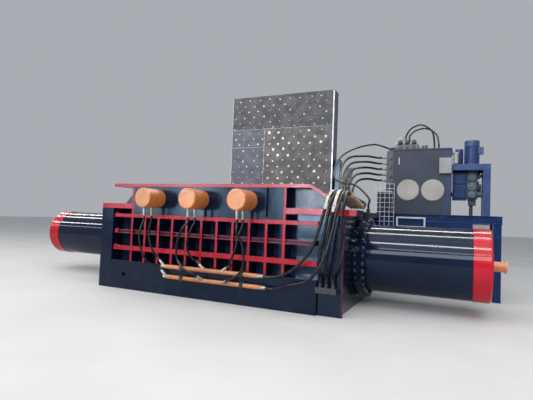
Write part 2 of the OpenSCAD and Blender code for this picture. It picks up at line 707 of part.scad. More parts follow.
module right_rod() at_frame() color(zinc) union() {
    rod_x(chamber_x1 + ram_len, right_cap_x - 60, mid_y, right_z, right_rod_r);
    rod_x(right_cap_x - 60 - piston_l, right_cap_x - 60, mid_y, right_z, right_bore_r - fit);
}
module left_rod() at_frame() color(zinc) union() {
    rod_x(left_cap_x + 60, chamber_x0 - ram_len, mid_y, left_z, left_rod_r);
    rod_x(left_cap_x + 60, left_cap_x + 60 + piston_l, mid_y, left_z, left_bore_r - fit);
}

// lock pin with its piston
module lock_pin(x) color(zinc) union() {
    rod_y(-lock_len + 60, lock_tip - 14, x, lock_z, lock_pin_r);
    rod_y(-lock_len + 60, -lock_len + 130, x, lock_z, lock_bore_r - fit);
    translate([x, lock_tip - 14, lock_z]) rotate([-90, 0, 0])
        cylinder(h = 14, r1 = lock_pin_r, r2 = lock_pin_r - 12);
}
module lock_pin_1() at_frame() lock_pin(lock_x[0]);
module lock_pin_2() at_frame() lock_pin(lock_x[1]);
module lock_pin_3() at_frame() lock_pin(lock_x[2]);

// deck of the power unit on four legs
module unit_frame() at_frame() color(navy) {
    b = 120;
    difference() {
        box([deck_x0, unit_y0, deck_z - deck_t], [deck_x1, unit_y1, deck_z]);
        for (k = [0:2]) box([deck_x0 + b + k * (deck_x1 - deck_x0 - b) / 3, unit_y0 + b, deck_z - deck_t - 1],
            [deck_x0 + (k + 1) * (deck_x1 - deck_x0 - b) / 3, unit_y1 - b, deck_z - 20]);
        for (y = [unit_y0 - 1, unit_y1 - 29]) box([deck_x0 + b, y, deck_z - deck_t + 18],
            [deck_x1 - b, y + 30, deck_z - 18]);
    }
    for (x = [deck_x0 + 10, deck_x1 - 160], y = [unit_y0 + 10, unit_y1 - 160]) {
        box([x, y, 20], [x + 150, y + 150, deck_z - deck_t]);
        box([x - 5, y - 5, 0], [x + 155, y + 155, 20]);
    }
}

// oil tank with a lipped lid and a foot rim
module oil_tank() at_frame() color([0.15, 0.12, 0.18]) union() {
    box([tank_x0, tank_y0, deck_z], [tank_x1, tank_y0 + tank_w, tank_z1 - 30]);
    box([tank_x0 - 14, tank_y0 - 14, tank_z1 - 31], [tank_x1 + 14, tank_y0 + tank_w + 14, tank_z1]);
    box([tank_x0, tank_y0 - 14, deck_z], [tank_x1, tank_y0 + tank_w + 14, deck_z + 60]);
}

// round cleaning covers, sight gauge and return filter
module tank_fittings() at_frame() color([0.80, 0.77, 0.68]) {
    for (x = [tank_x0 + 330, tank_x0 + 835]) union() {
        rod_y(tank_y0 - 16, tank_y0, x, deck_z + 520, tank_cover_r + 14);
        rod_y(tank_y0 - 34, tank_y0 - 15, x, deck_z + 520, tank_cover_r);
    }
    box([tank_x0 + 116, tank_y0 - 22, deck_z + 1080], [tank_x0 + 146, tank_y0, deck_z + 1240]);
    union() {
        rod_z(table_z + 10, table_z + 220, tank_x1 + 85, tank_y0 + 110, 46);
        rod_z(table_z + 219, table_z + 250, tank_x1 + 85, tank_y0 + 110, 56);
        box([tank_x1, tank_y0 + 85, table_z + 120], [tank_x1 + 60, tank_y0 + 135, table_z + 180]);
    }
}

// switch box on the tank and the terminal panel under the deck
module control_box() at_frame() color([0.72, 0.68, 0.58]) {
    box([tank_x1 - 230, tank_y0 - 70, deck_z + 880], [tank_x1 + 10, tank_y0, deck_z + 1210]);
    box([tank_x1 + 420, unit_y0 + 20, deck_z - deck_t - 150], [tank_x1 + 740, unit_y0 + 80, deck_z - deck_t]);
}

// valve column with its row of hose fittings
module valve_manifold() at_frame() color([0.16, 0.17, 0.20]) union() {
    box([tank_x0 - 150, manifold_y - 75, deck_z + 510], [tank_x0, manifold_y + 75, tank_z1 - 31]);
    for (z = manifold_z) translate([tank_x0 - 149, manifold_y, z]) rotate([0, -90, 0])
        fitting(tank_x0 - 149 - manifold_x, feed_hose_r + 6);
    for (k = [0:3]) rod_y(manifold_y - 110, manifold_y - 74, tank_x0 - 75, deck_z + 640 + 200 * k, 40);
}

// valve blocks on the tank lid
module valve_bank() at_frame() color([0.24, 0.25, 0.27]) {
    union() {
        box([tank_x0 + 30, tank_y0 + 250, tank_z1], [tank_x0 + 500, tank_y0 + 550, tank_z1 + 150]);
        for (k = [0:2]) {
            x = tank_x0 + 100 + 150 * k;
            box([x - 50, tank_y0 + 300, tank_z1 + 149], [x + 50, tank_y0 + 500, tank_z1 + 230]);
            rod_y(tank_y0 + 190, tank_y0 + 301, x, tank_z1 + 195, 34);
            rod_y(tank_y0 + 499, tank_y0 + 610, x, tank_z1 + 195, 34);
        }
        rod_x(tank_x0 - 60, tank_x0 + 31, tank_y0 + 330, tank_z1 + 90, 30);
        for (k = [0, 1]) rod_z(tank_z1 + 229, tank_z1 + 290, tank_x0 + 220 + 80 * k, tank_y0 + 400, 24);
    }
    for (k = [0, 1]) rod_z(tank_z1, tank_z1 + 70, tank_x0 + 830 + 90 * k, tank_y0 + 400, 24);
    union() {
        rod_z(tank_z1, tank_z1 + 30, tank_x0 + 630, tank_y0 + 400, 95);
        rod_z(tank_z1 + 29, tank_z1 + 130, tank_x0 + 630, tank_y0 + 400, 62);
    }
}

// finned oil cooler beside the tank
module oil_cooler() at_frame() color(rubber) union() {
    box([deck_x0 + 20, unit_y0 + 120, deck_z], [tank_x0 - 20, unit_y0 + 340, deck_z + 60]);
    box([deck_x0 + 20, unit_y0 + 120, deck_z + 430], [tank_x0 - 20, unit_y0 + 340, deck_z + 480]);
    for (k = [0:6]) box([deck_x0 + 20 + 46 * k, unit_y0 + 130, deck_z + 59],
        [deck_x0 + 40 + 46 * k, unit_y0 + 330, deck_z + 431]);
}

// welded wire guard in front of the cooler, and the light hatch frame beside it
module cooler_guard() at_frame() color([0.85, 0.86, 0.87]) {
    n = floor(1020 / guard_pitch);
    union() {
        for (k = [0:4]) box([deck_x0 + 4 + k * 100, unit_y0 - 19.6, deck_z - 290],
            [deck_x0 + 14 + k * 100, unit_y0 - 12, deck_z - 280 + n * guard_pitch]);
        for (k = [0:n]) box([deck_x0 + 4, unit_y0 - 13, deck_z - 290 + k * guard_pitch],
            [deck_x0 + 414, unit_y0, deck_z - 280 + k * guard_pitch]);
    }
    difference() {
        box([tank_x0 + 110, unit_y0 - 40, deck_z - 300], [tank_x0 + 710, unit_y0, deck_z - 70]);
        box([tank_x0 + 145, unit_y0 - 41, deck_z - 265], [tank_x0 + 675, unit_y0 + 1, deck_z - 105]);
    }
}

// table that carries the motors, with two posts down to the deck
module motor_stand() at_frame() color(navy) union() {
    difference() {
        box([tank_x1 + 14, motor_y - 350, table_z - 130], [table_x1, motor_y + 350, table_z]);
        box([tank_x1 + 40, motor_y - 325, table_z - 131], [table_x1 - 25, motor_y + 325, table_z - 25]);
        rod_z(table_z - 30, table_z + 1, motor_x, motor_y, 60);
    }
    for (y = [motor_y - 350, motor_y + 210])
        box([table_x1 - 140, y, deck_z], [table_x1, y + 140, table_z - 129]);
    box([tank_x1, motor_y - 350, table_z - 130], [tank_x1 + 15, motor_y + 350, table_z - 40]);
}

// finned electric motor, upright
module motor(r, h, fins) union() {
    cylinder(h = 30, r = r * 1.08);
    translate([0, 0, 29]) linear_extrude(h * 0.72) union() {
        circle(r * 0.86);
        for (k = [0:fins - 1]) rotate(360 * k / fins) translate([0, -4]) square([r, 8]);
    }
    translate([0, 0, h * 0.72 + 28]) cylinder(h = h * 0.28 - 28, r = r);
}
module motors() at_frame() color([0.10, 0.14, 0.30]) {
    translate([motor_x, motor_y, table_z]) union() {
        motor(motor_r, 540, 28);
        box([motor_r * 0.8, -80, 250], [motor_r + 75, 80, 400]);
    }
    translate([tank_x1 + 150, motor_y + 230, table_z]) motor(85, 400, 20);
}

// bell housing, pump body, suction line to the tank and drain line to the deck
module pump() at_frame() color([0.30, 0.31, 0.33]) translate([motor_x, motor_y, table_z - 25]) union() {
    translate([0, 0, -30]) cylinder(h = 30, r = 170);
    translate([0, 0, -320]) cylinder(h = 291, r = 120);
    translate([0, 0, -360]) cylinder(h = 41, r = 150);
    translate([0, 0, -700]) cylinder(h = 341, r = 125);
    box([-60, -170, -640], [60, 170, -440]);
    box([-60, -90, -840], [90, 90, -699]);
    rod_x(-400, -100, 0, -600, 48);
    rod_x(100, 190, 0, -520, 40);
    rod_x(150, 190, 0, -520, 58);
    rod_z(deck_z - table_z + 25, -800, 0, 0, 36);
}

// hose routes, front and rear port of each lock cylinder to its tap on the pipes
front_mid = [[[550, -400, 1130], [560, -320, 800], [650, -230, 610]],
    [[1500, -410, 1260], [1370, -350, 1000], [1330, -290, 780], [1420, -280, 620], [1530, -270, 540]],
    [[2600, -410, 1270], [2670, -340, 1070], [2690, -300, 790], [2630, -290, 610], [2500, -270, 500]]];
rear_mid = [[[580, -170, 1240], [610, -170, 980], [680, -140, 800]],
    [[1550, -190, 1280], [1470, -190, 1050], [1490, -170, 860], [1580, -120, 720]],
    [[2530, -190, 1230], [2460, -200, 940], [2350, -150, 730]]];
function lock_route(i, rear) = let (y = port_y[rear ? 1 : 0], t = taps[rear ? i : i + 3],
    e = tap_end(t)) concat([[lock_x[i], y, port_z], [lock_x[i], y, port_z - 90]],
    rear ? rear_mid[i] : front_mid[i], [e + 90 * tap_dir(t), e]);

module hose_lock_1a() at_frame() color(rubber) hose(lock_route(0, false), lock_hose_r);
module hose_lock_1b() at_frame() color(rubber) hose(lock_route(0, true), lock_hose_r);
module hose_lock_2a() at_frame() color(rubber) hose(lock_route(1, false), lock_hose_r);
module hose_lock_2b() at_frame() color(rubber) hose(lock_route(1, true), lock_hose_r);
module hose_lock_3a() at_frame() color(rubber) hose(lock_route(2, false), lock_hose_r);
module hose_lock_3b() at_frame() color(rubber) hose(lock_route(2, true), lock_hose_r);

// stretch from the manifold through the sleeve to the front edge, for hose k of the row
function bank_route(k) = let (z = manifold_z[k], x = sleeve_x[k]) [[manifold_x, manifold_y, z],
    [manifold_x - 110, manifold_y, z], [3960 + 10 * k, 3060, z + 10],
    [3680 + 50 * k, 2650, z - 80], [3600 + 60 * k, 2300 + 20 * k, 2620 - 110 * k],
    [3720 + 60 * k, 1900 + 40 * k, 2180 - 40 * k], [x - 60, 1500 + 40 * k, 1880],
    for (u = [1.12, 1, 0.85, 0.5, 0.15, 0, -0.08]) [x, sleeve_a[0] + u * (sleeve_b[0] - sleeve_a[0]),
    sleeve_a[1] + u * (sleeve_b[1] - sleeve_a[1])]];

module hose_feed_1() at_frame() color(rubber) hose(concat(bank_route(0), [[4075, -50, 1945],
    [4040, -130, 1850], [4000, -180, 1640], [3940, -210, 1390], [3820, -200, 1060], [3580, -170, 770],
    [3330, -120, 610], [pipe_end[0] + 130, pipe_y, pipe_up_z], [pipe_end[0], pipe_y, pipe_up_z]]),
    feed_hose_r);
module hose_main_1() at_frame() color(rubber) hose(concat(bank_route(1), [[4138, -50, 1945],
    [4110, -110, 1860], [4060, -140, 1640], [4020, -140, 1390], [3960, -140, 1060], [3930, -110, 760],
    [3930, right_block_back - 70, main_port_z + 110], [3930, right_block_back - 70, main_port_z]]),
    feed_hose_r);
module hose_main_2() at_frame() color(rubber) hose(concat(bank_route(2), [[4196, -50, 1945],
    [4180, -120, 1860], [4130, -160, 1640], [4090, -150, 1390], [4050, -140, 1060], [4030, -110, 760],
    [4030, right_block_back - 70, main_port_z + 110], [4030, right_block_back - 70, main_port_z]]),
    feed_hose_r);
module hose_feed_2() at_frame() color(rubber) hose(concat(bank_route(3), [[4253, -50, 1945],
    [4245, -130, 1860], [4200, -200, 1640], [4170, -240, 1400], [4090, -270, 1050], [3960, -280, 760],
    [3760, -240, 560], [3450, -180, 460], [pipe_end[1] + 140, pipe_y, pipe_low_z], [pipe_end[1], pipe_y,
    pipe_low_z]]), feed_hose_r);
module hose_main_3() at_frame() color(rubber) hose(concat(bank_route(4), [[4312, -50, 1945],
    [4315, -110, 1860], [4280, -140, 1640], [4270, -140, 1390], [4250, -140, 1060], [4180, -110, 760],
    [4140, right_block_back - 70, main_port_z + 110], [4140, right_block_back - 70, main_port_z]]),
    feed_hose_r);

// arched hoses over the tank and the hose to the flange port
module hose_arc_1() at_frame() color(rubber) let (x = tank_x0, y = tank_y0 + 400, z = tank_z1)
    hose([[x + 220, y, z + 290], [x + 220, y, z + 370], [x + 330, y - 40, z + 530],
        [x + 560, y - 60, z + 600], [x + 780, y - 40, z + 440], [x + 830, y, z + 170], [x + 830, y, z + 70]],
        lock_hose_r);
module hose_arc_2() at_frame() color(rubber) let (x = tank_x0, y = tank_y0 + 400, z = tank_z1)
    hose([[x + 300, y, z + 290], [x + 300, y, z + 370], [x + 420, y + 60, z + 500],
        [x + 650, y + 80, z + 540], [x + 860, y + 50, z + 400], [x + 920, y, z + 170], [x + 920, y, z + 70]],
        lock_hose_r);
module hose_cylinder() at_frame() color(rubber) let (z = right_z + flange_r + 165,
    x = (flange_x0 + flange_x1) / 2) hose([[tank_x0 - 60, tank_y0 + 330, tank_z1 + 90],
        [tank_x0 - 170, tank_y0 + 330, tank_z1 + 90], [4130, 3180, 3290], [3800, 2900, 3180],
        [3560, 2600, 2980], [3470, 2300, 2700], [3560, 1950, 2400], [3800, 1720, 2280],
        [4080, 1590, 2220], [x, mid_y, z + 220], [x, mid_y, z + 90], [x, mid_y, z]], lock_hose_r);

base_frame();
wear_liners();
side_walls();
front_ribs();
lock_beam();
top_rail();
left_end();
right_end();
channel_covers();
hinge_ears();
hinge_pins();
barrels();
end_caps();
rod_glands();
flange_bolts();
end_ports();
lock_cylinders();
hose_fittings();
distribution_pipes();
pipe_clamps();
hose_guard();
hose_sleeve();
lid_cylinders();
unit_frame();
oil_tank();
tank_fittings();
control_box();
valve_manifold();
valve_bank();
oil_cooler();
cooler_guard();
motor_stand();
motors();
pump();
left_ram();
left_rod();
right_ram();
right_rod();
lid_frame();
lid_liner();
lid_lugs();
lid_rod_left();
lid_rod_right();
lock_pin_1();
lock_pin_2();
lock_pin_3();
hose_lock_1a();
hose_lock_1b();
hose_lock_2a();
hose_lock_2b();
hose_lock_3a();
hose_lock_3b();
hose_feed_1();
hose_feed_2();
hose_main_1();
hose_main_2();
hose_main_3();
hose_arc_1();
hose_arc_2();
hose_cylinder();
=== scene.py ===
"""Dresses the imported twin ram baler: camera, hoses, paint, steel, cloth and the small fittings.

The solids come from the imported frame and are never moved. Every class below holds the sizes of one
sub-assembly, builds its extra pieces from numpy surfaces and gives the solids their finishes.
Positions are written in shop coordinates (metres, X = 0 at the first front rib, Y = 0 at the rib
fronts) and moved to the shared frame by the function `place`.
"""

from __future__ import annotations

import logging
import math
from dataclasses import dataclass, field
from enum import Enum
from typing import Iterable, Sequence

import bpy
import numpy as np
from mathutils import Matrix


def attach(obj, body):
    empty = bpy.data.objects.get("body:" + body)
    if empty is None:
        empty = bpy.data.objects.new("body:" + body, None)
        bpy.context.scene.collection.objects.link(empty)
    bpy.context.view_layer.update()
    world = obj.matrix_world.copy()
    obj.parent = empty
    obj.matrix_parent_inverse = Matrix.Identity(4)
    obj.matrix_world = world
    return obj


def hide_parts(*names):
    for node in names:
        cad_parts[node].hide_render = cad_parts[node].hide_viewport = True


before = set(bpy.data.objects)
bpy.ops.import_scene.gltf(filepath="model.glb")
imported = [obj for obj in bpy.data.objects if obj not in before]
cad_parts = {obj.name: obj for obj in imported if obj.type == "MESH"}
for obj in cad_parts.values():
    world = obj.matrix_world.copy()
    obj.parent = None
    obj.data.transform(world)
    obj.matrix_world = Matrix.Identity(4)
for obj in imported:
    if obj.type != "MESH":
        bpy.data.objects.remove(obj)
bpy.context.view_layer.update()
LOG = logging.getLogger("baler")
SHOP = np.array([-1.5, -1.985, 0.0])
SMOOTH_BELOW = math.radians(35)
Pair = tuple[float, float]
Point = tuple[float, float, float]
Colour = Point
Route = tuple[Point, ...]
Points = Sequence[Sequence[float]]
Box = tuple[Point, Point]
Drum = tuple[Point, Point, float, float]
Shape = tuple[np.ndarray, list[list[int]]]
Socket = bpy.types.NodeSocket


def place(points: Points) -> np.ndarray:
    """Moves shop coordinates to the shared frame.

    Args:
        points: rows of X, Y, Z in metres.
    Returns:
        The same rows in the shared frame.
    """
    return np.asarray(points, float) + SHOP


def unit(rows: np.ndarray) -> np.ndarray:
    """One vector, or rows of vectors, scaled to length 1."""
    return rows / np.linalg.norm(rows, axis=-1, keepdims=True)


# Meshes from arrays


def grid_faces(rows: int, cols: int) -> np.ndarray:
    """Quads of a tube's grid of points, ring after ring, the last column joining the first.

    Args:
        rows: number of rings along the path.
        cols: number of points in each ring.
    Returns:
        Array of four indices per quad.
    """
    i = np.arange(rows - 1)[:, None]
    j = np.arange(cols)[None, :]
    k = (j + 1) % cols
    quads = np.stack([i * cols + j, i * cols + k, (i + 1) * cols + k, (i + 1) * cols + j], -1)
    return quads.reshape(-1, 4)


def capped(points: np.ndarray) -> Shape:
    """Closes a tube of rings with one flat face at each end.

    Args:
        points: array (rings, points in a ring, 3).
    Returns:
        Flat point array and the face list.
    """
    rows, cols, _ = points.shape
    faces = grid_faces(rows, cols).tolist()
    faces.append(list(range(cols))[::-1])
    faces.append([(rows - 1) * cols + c for c in range(cols)])
    return points.reshape(-1, 3), faces


def frames_along(path: np.ndarray) -> tuple[np.ndarray, np.ndarray]:
    """Two side directions at every point of a path.

    The side direction is carried from point to point: its part along the new tangent is taken away.

    Args:
        path: array (n, 3).
    Returns:
        First sides and second sides, each (n, 3).
    """
    tan = unit(np.gradient(path, axis=0))
    up = np.array([1.0, 0, 0]) if abs(tan[0][2]) > 0.9 else np.array([0, 0, 1.0])
    sides = [up - (up @ tan[0]) * tan[0]]
    for t in tan[1:]:
        sides.append(sides[-1] - (sides[-1] @ t) * t)
    a = unit(np.array(sides))
    return a, np.cross(tan, a)


def tube(path: np.ndarray, radius: float | np.ndarray, sides: int = 16) -> Shape:
    """Round tube: point(s, angle) = path(s) + r(s) * (cos(angle) * a(s) + sin(angle) * b(s)).

    Args:
        path: array (n, 3).
        radius: one radius, or one for each point.
        sides: points in a ring.
    Returns:
        Points and faces of the closed tube.
    """
    a, b = frames_along(path)
    ang = np.linspace(0, 2 * np.pi, sides, endpoint=False)
    r = np.broadcast_to(np.asarray(radius, float), (len(path),))[:, None, None]
    ring = np.cos(ang)[None, :, None] * a[:, None, :] + np.sin(ang)[None, :, None] * b[:, None, :]
    return capped(path[:, None, :] + r * ring)


def turned(profile: Points, centre: np.ndarray, axis: Point, sides: int, phase: float = 0.0) -> Shape:
    """Turned part: point(i, angle) = centre + h(i) * axis + r(i) * (cos(angle) * a + sin(angle) * b).

    Args:
        profile: rows of radius and height, from one end to the other.
        centre: start of the axis in the shared frame.
        axis: direction of the axis.
        sides: points round.
        phase: turn of the first point in radians.
    Returns:
        Points and faces of the closed part.
    """
    prof = np.asarray(profile, float)
    w = unit(np.asarray(axis, float))
    helper = np.array([0, 0, 1.0]) if abs(w[2]) < 0.9 else np.array([1.0, 0, 0])
    a = unit(np.cross(helper, w))
    b = np.cross(w, a)
    ang = np.linspace(0, 2 * np.pi, sides, endpoint=False) + phase
    ring = np.cos(ang)[:, None] * a + np.sin(ang)[:, None] * b
    pts = centre + prof[:, 1][:, None, None] * w + prof[:, 0][:, None, None] * ring[None]
    return capped(pts)


def block(low: Point, high: Point, chamfer: float) -> Shape:
    """Box between two corners with all edges cut off: eight-sided rings at four heights.

    Args:
        low: lowest corner.
        high: highest corner.
        chamfer: width of the cut at the edges, metres.
    Returns:
        Points and faces.
    """
    lo, hi, c = np.asarray(low, float), np.asarray(high, float), chamfer

    def ring(inset: float, z: float) -> list[list[float]]:
        """Eight corners of one level, pulled in by `inset`."""
        x0, y0, x1, y1 = lo[0] + inset, lo[1] + inset, hi[0] - inset, hi[1] - inset
        return [[x0 + c, y0, z], [x1 - c, y0, z], [x1, y0 + c, z], [x1, y1 - c, z],
                [x1 - c, y1, z], [x0 + c, y1, z], [x0, y1 - c, z], [x0, y0 + c, z]]

    return capped(np.array([ring(c, lo[2]), ring(0, lo[2] + c), ring(0, hi[2] - c), ring(c, hi[2])]))


def catmull(points: Points, steps: int) -> np.ndarray:
    """Smooth line through points, each stretch being the Catmull-Rom cubic of its four neighbours.

    Args:
        points: control points.
        steps: points made in each stretch.
    Returns:
        Array of the route's points.
    """
    p = np.asarray(points, float)
    q = np.vstack([p[:1], p, p[-1:]])
    t = (np.arange(steps) / steps)[None, :, None]
    a, b, c, d = (q[k:len(p) - 1 + k][:, None, :] for k in range(4))
    s = 0.5 * (2 * b + (c - a) * t + (2 * a - 5 * b + 4 * c - d) * t ** 2 + (3 * b - a - 3 * c + d) * t ** 3)
    return np.vstack([s.reshape(-1, 3), p[-1:]])


def joined(parts: Iterable[Shape]) -> Shape:
    """Puts several point and face lists into one."""
    pts, faces, n = [], [], 0
    for p, f in parts:
        pts.append(p)
        faces += [[i + n for i in face] for face in f]
        n += len(p)
    return np.vstack(pts), faces


def linked(name: str, data: bpy.types.ID) -> bpy.types.Object:
    """Makes an object of a mesh, a lamp or a camera and puts it in the scene."""
    obj = bpy.data.objects.new(name, data)
    bpy.context.scene.collection.objects.link(obj)
    return obj


def piece(name: str, shape: Shape, finish: Finish, body: str = "frame", smooth: bool = True,
          bevel: float = 0.0) -> bpy.types.Object:
    """Makes one object at the origin from points and faces, dresses it and lets it ride.

    Args:
        name: object name.
        shape: points and faces.
        finish: the finish that it gets.
        body: the CAD body that it moves with.
        smooth: smooth shading where faces meet below SMOOTH_BELOW.
        bevel: width of a rounded edge in metres, 0 for none.
    Returns:
        The new object.
    """
    mesh = bpy.data.meshes.new(name)
    mesh.from_pydata(shape[0].tolist(), [], shape[1])
    mesh.validate()
    obj = linked(name, mesh)
    mesh.materials.append(finish.material())
    if bevel:
        mod = obj.modifiers.new("edge", "BEVEL")
        mod.width, mod.segments, mod.limit_method = bevel, 2, "ANGLE"
    if smooth:
        mesh.polygons.foreach_set("use_smooth", np.ones(len(mesh.polygons), bool))
        mesh.set_sharp_from_angle(angle=SMOOTH_BELOW)
    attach(obj, body)
    LOG.info("%s: %d faces, rides on %s", name, len(mesh.polygons), body)
    return obj


def box_piece(name: str, finish: Finish, chamfer: float, *rows: Box, body: str = "frame") -> None:
    """One piece made of boxes with broken edges.

    Args:
        name: object name.
        finish: its finish.
        chamfer: width of the broken edges, metres.
        rows: lowest and highest corner of each box, shop coordinates.
        body: the CAD body that it moves with.
    """
    points, faces = joined(block(low, high, chamfer) for low, high in rows)
    piece(name, (place(points), faces), finish, body, smooth=False)


def weave_map(obj: bpy.types.Object, across: np.ndarray, along: np.ndarray) -> None:
    """Lays a cloth piece's own UV map.

    Args:
        obj: the piece.
        across: first coordinate of each point.
        along: second coordinate of each point.
    """
    index = np.zeros(len(obj.data.loops), np.int32)
    obj.data.loops.foreach_get("vertex_index", index)
    coords = np.stack([across, along], -1)[index].astype(np.float32)
    obj.data.uv_layers.new(name="weave").data.foreach_set("uv", coords.ravel())


# Finishes


class Pattern(Enum):
    """Soft patches of noise: turns per metre, octaves, roughness, and where the patches start and are full."""

    TONE = (1.7, 5.0, 0.6, 0.3, 0.75)
    DRY_FILM = (14.0, 3.0, 0.6, 0.45, 0.8)
    RUNS = (5.0, 5.0, 0.62, 0.56, 0.74)
    LEDGE_DUST = (3.2, 6.0, 0.65, 0.30, 0.62)
    LOW_DUST = (4.6, 5.0, 0.6, 0.42, 0.72)
    CHIPS = (26.0, 6.0, 0.7, 0.60, 0.68)
    MILL_SCALE = (4.5, 8.0, 0.68, 0.36, 0.64)
    RUST = (7.0, 8.0, 0.72, 0.56, 0.72)
    DULL = (12.0, 4.0, 0.55, 0.3, 0.7)
    GREASE = (16.0, 6.0, 0.7, 0.50, 0.70)
    SCUFFS = (22.0, 6.0, 0.7, 0.58, 0.76)
    HOSE_DUST = (9.0, 5.0, 0.55, 0.35, 0.65)
    SUN_FADE = (5.0, 5.0, 0.6, 0.35, 0.7)
    OIL_STAINS = (13.0, 6.0, 0.7, 0.46, 0.62)
    SPECKS = (38.0, 3.0, 0.6, 0.60, 0.70)
    FLOOR = (0.5, 4.0, 0.55, 0.3, 0.7)


class Graph:
    """Shorthand for the nodes of one material, around one Principled shader."""

    def __init__(self, name: str) -> None:
        """Makes the material `name` with a shader and an output."""
        self.mat = bpy.data.materials.new(name)
        self.mat.use_nodes = True
        self.tree = self.mat.node_tree
        self.tree.nodes.clear()
        self.bsdf = self.add("BsdfPrincipled")
        self.tree.links.new(self.bsdf.outputs[0], self.add("OutputMaterial").inputs[0])
        self.object = self.add("TexCoord").outputs["Object"]
        self.geometry = self.add("NewGeometry")

    def add(self, kind: str, **settings: object) -> bpy.types.Node:
        """Adds a shader node of a kind and sets its properties."""
        node = self.tree.nodes.new(f"ShaderNode{kind}")
        for key, value in settings.items():
            setattr(node, key, value)
        return node

    def put(self, socket: Socket, value: object) -> None:
        """Links a socket, or writes a plain value on it."""
        if isinstance(value, Socket):
            self.tree.links.new(value, socket)
        elif isinstance(value, tuple) and len(value) == 3 and socket.type == "RGBA":
            socket.default_value = (*value, 1.0)
        else:
            socket.default_value = value

    def fill(self, node: bpy.types.Node, **values: object) -> bpy.types.Node:
        """Sets inputs of a node by name; an underscore stands for a space."""
        for key, value in values.items():
            self.put(node.inputs[key.replace("_", " ")], value)
        return node

    def math(self, op: str, a: object, b: object = 0.0, clamp: bool = False) -> Socket:
        """One Math node."""
        node = self.add("Math", operation=op, use_clamp=clamp)
        self.put(node.inputs[0], a)
        self.put(node.inputs[1], b)
        return node.outputs[0]

    def times(self, a: object, b: object) -> Socket:
        """Product of two values."""
        return self.math("MULTIPLY", a, b)

    def plus(self, a: object, b: object, clamp: bool = False) -> Socket:
        """Sum of two values, held between 0 and 1 if `clamp` is set."""
        return self.math("ADD", a, b, clamp)

    def step(self, value: object, low: float, high: float, to: Pair = (0.0, 1.0)) -> Socket:
        """Smooth step of a value between two bounds, to two results."""
        node = self.add("MapRange", interpolation_type="SMOOTHSTEP")
        for index, item in enumerate((value, low, high, *to)):
            self.put(node.inputs[index], item)
        return node.outputs[0]

    def mix(self, factor: object, a: object, b: object) -> Socket:
        """Mixes two colours."""
        node = self.add("Mix", data_type="RGBA")
        for index, item in ((0, factor), (6, a), (7, b)):
            self.put(node.inputs[index], item)
        return node.outputs[2]

    def shade(self, colour: object, factor: object) -> Socket:
        """Colour times a factor."""
        node = self.add("VectorMath", operation="SCALE")
        self.put(node.inputs[0], colour)
        return self.fill(node, Scale=factor).outputs[0]

    def stretch(self, scale: Point) -> Socket:
        """Object coordinates scaled on each axis."""
        return self.fill(self.add("Mapping"), Vector=self.object, Scale=scale).outputs[0]

    def noise(self, scale: float, detail: float = 4.0, rough: float = 0.55, vector: Socket | None = None) -> Socket:
        """Noise of a size (turns per metre) on object coordinates."""
        return self.fill(self.add("TexNoise"), Vector=vector or self.object, Scale=scale, Detail=detail,
                         Roughness=rough).outputs["Fac"]

    def patches(self, pattern: Pattern, most: float = 1.0, least: float = 0.0, vector: Socket | None = None) -> Socket:
        """Soft patches of a pattern: `most` inside them, `least` outside."""
        *noise, low, high = pattern.value
        return self.step(self.noise(*noise, vector), low, high, (least, most))

    def axes(self, vector: Socket | None = None) -> tuple[Socket, ...]:
        """X, Y and Z of object coordinates or of another vector."""
        return tuple(self.fill(self.add("SeparateXYZ"), Vector=vector or self.object).outputs)

    def facing(self) -> tuple[Socket, ...]:
        """X, Y and Z of the flat face normal."""
        return self.axes(self.geometry.outputs["True Normal"])

    def edges(self, radius: float) -> tuple[Socket, Socket]:
        """Rounded normal near edges and a mask that is 1 on them.

        Args:
            radius: width of the rounding, metres.
        Returns:
            The rounded normal and the edge mask.
        """
        soft = self.fill(self.add("Bevel", samples=4), Radius=radius)
        dot = self.add("VectorMath", operation="DOT_PRODUCT")
        self.put(dot.inputs[0], soft.outputs[0])
        self.put(dot.inputs[1], self.geometry.outputs["Normal"])
        return soft.outputs[0], self.step(dot.outputs["Value"], 0.99, 0.86)

    def bump(self, height: object, strength: float, distance: float, normal: Socket | None = None) -> Socket:
        """Bump from a height, on the face's normal or on another one."""
        node = self.fill(self.add("Bump"), Strength=strength, Distance=distance, Height=height)
        return self.fill(node, **({"Normal": normal} if normal else {})).outputs[0]

    def gloss(self, fine: Socket, rough: float, spread: Pair, more: Socket) -> Socket:
        """Roughness that wanders between rough + spread with a fine noise, plus more where dirt lies."""
        return self.plus(self.step(fine, 0.3, 0.7, (rough + spread[0], rough + spread[1])), more, True)

    def finish(self, colour: object, rough: object, normal: object, **fixed: object) -> bpy.types.Material:
        """Sets the shader's sockets: linked colour, roughness and normal, and plain values for the rest."""
        self.fill(self.bsdf, Base_Color=colour, Roughness=rough, Normal=normal, **fixed)
        return self.mat


def gain(colour: Colour, factor: float) -> Colour:
    """Colour times a factor, at most 1."""
    return tuple(min(1.0, c * factor) for c in colour)


RED: Colour = (0.42, 0.003, 0.016)
NAVY: Colour = (0.0028, 0.0080, 0.0250)
COOL: Colour = (0.88, 0.90, 1.0)
WHITE: Colour = (1.0, 1.0, 1.0)
IVORY: Colour = (1.0, 0.97, 0.94)
DUST: Colour = (0.24, 0.225, 0.205)
DRY_FILM: Colour = (0.20, 0.20, 0.20)
SOOT: Colour = (0.030, 0.027, 0.026)
RUST: Colour = (0.16, 0.075, 0.035)
SCUFF: Colour = (0.085, 0.083, 0.082)
HOSE_DUST: Colour = (0.21, 0.20, 0.185)


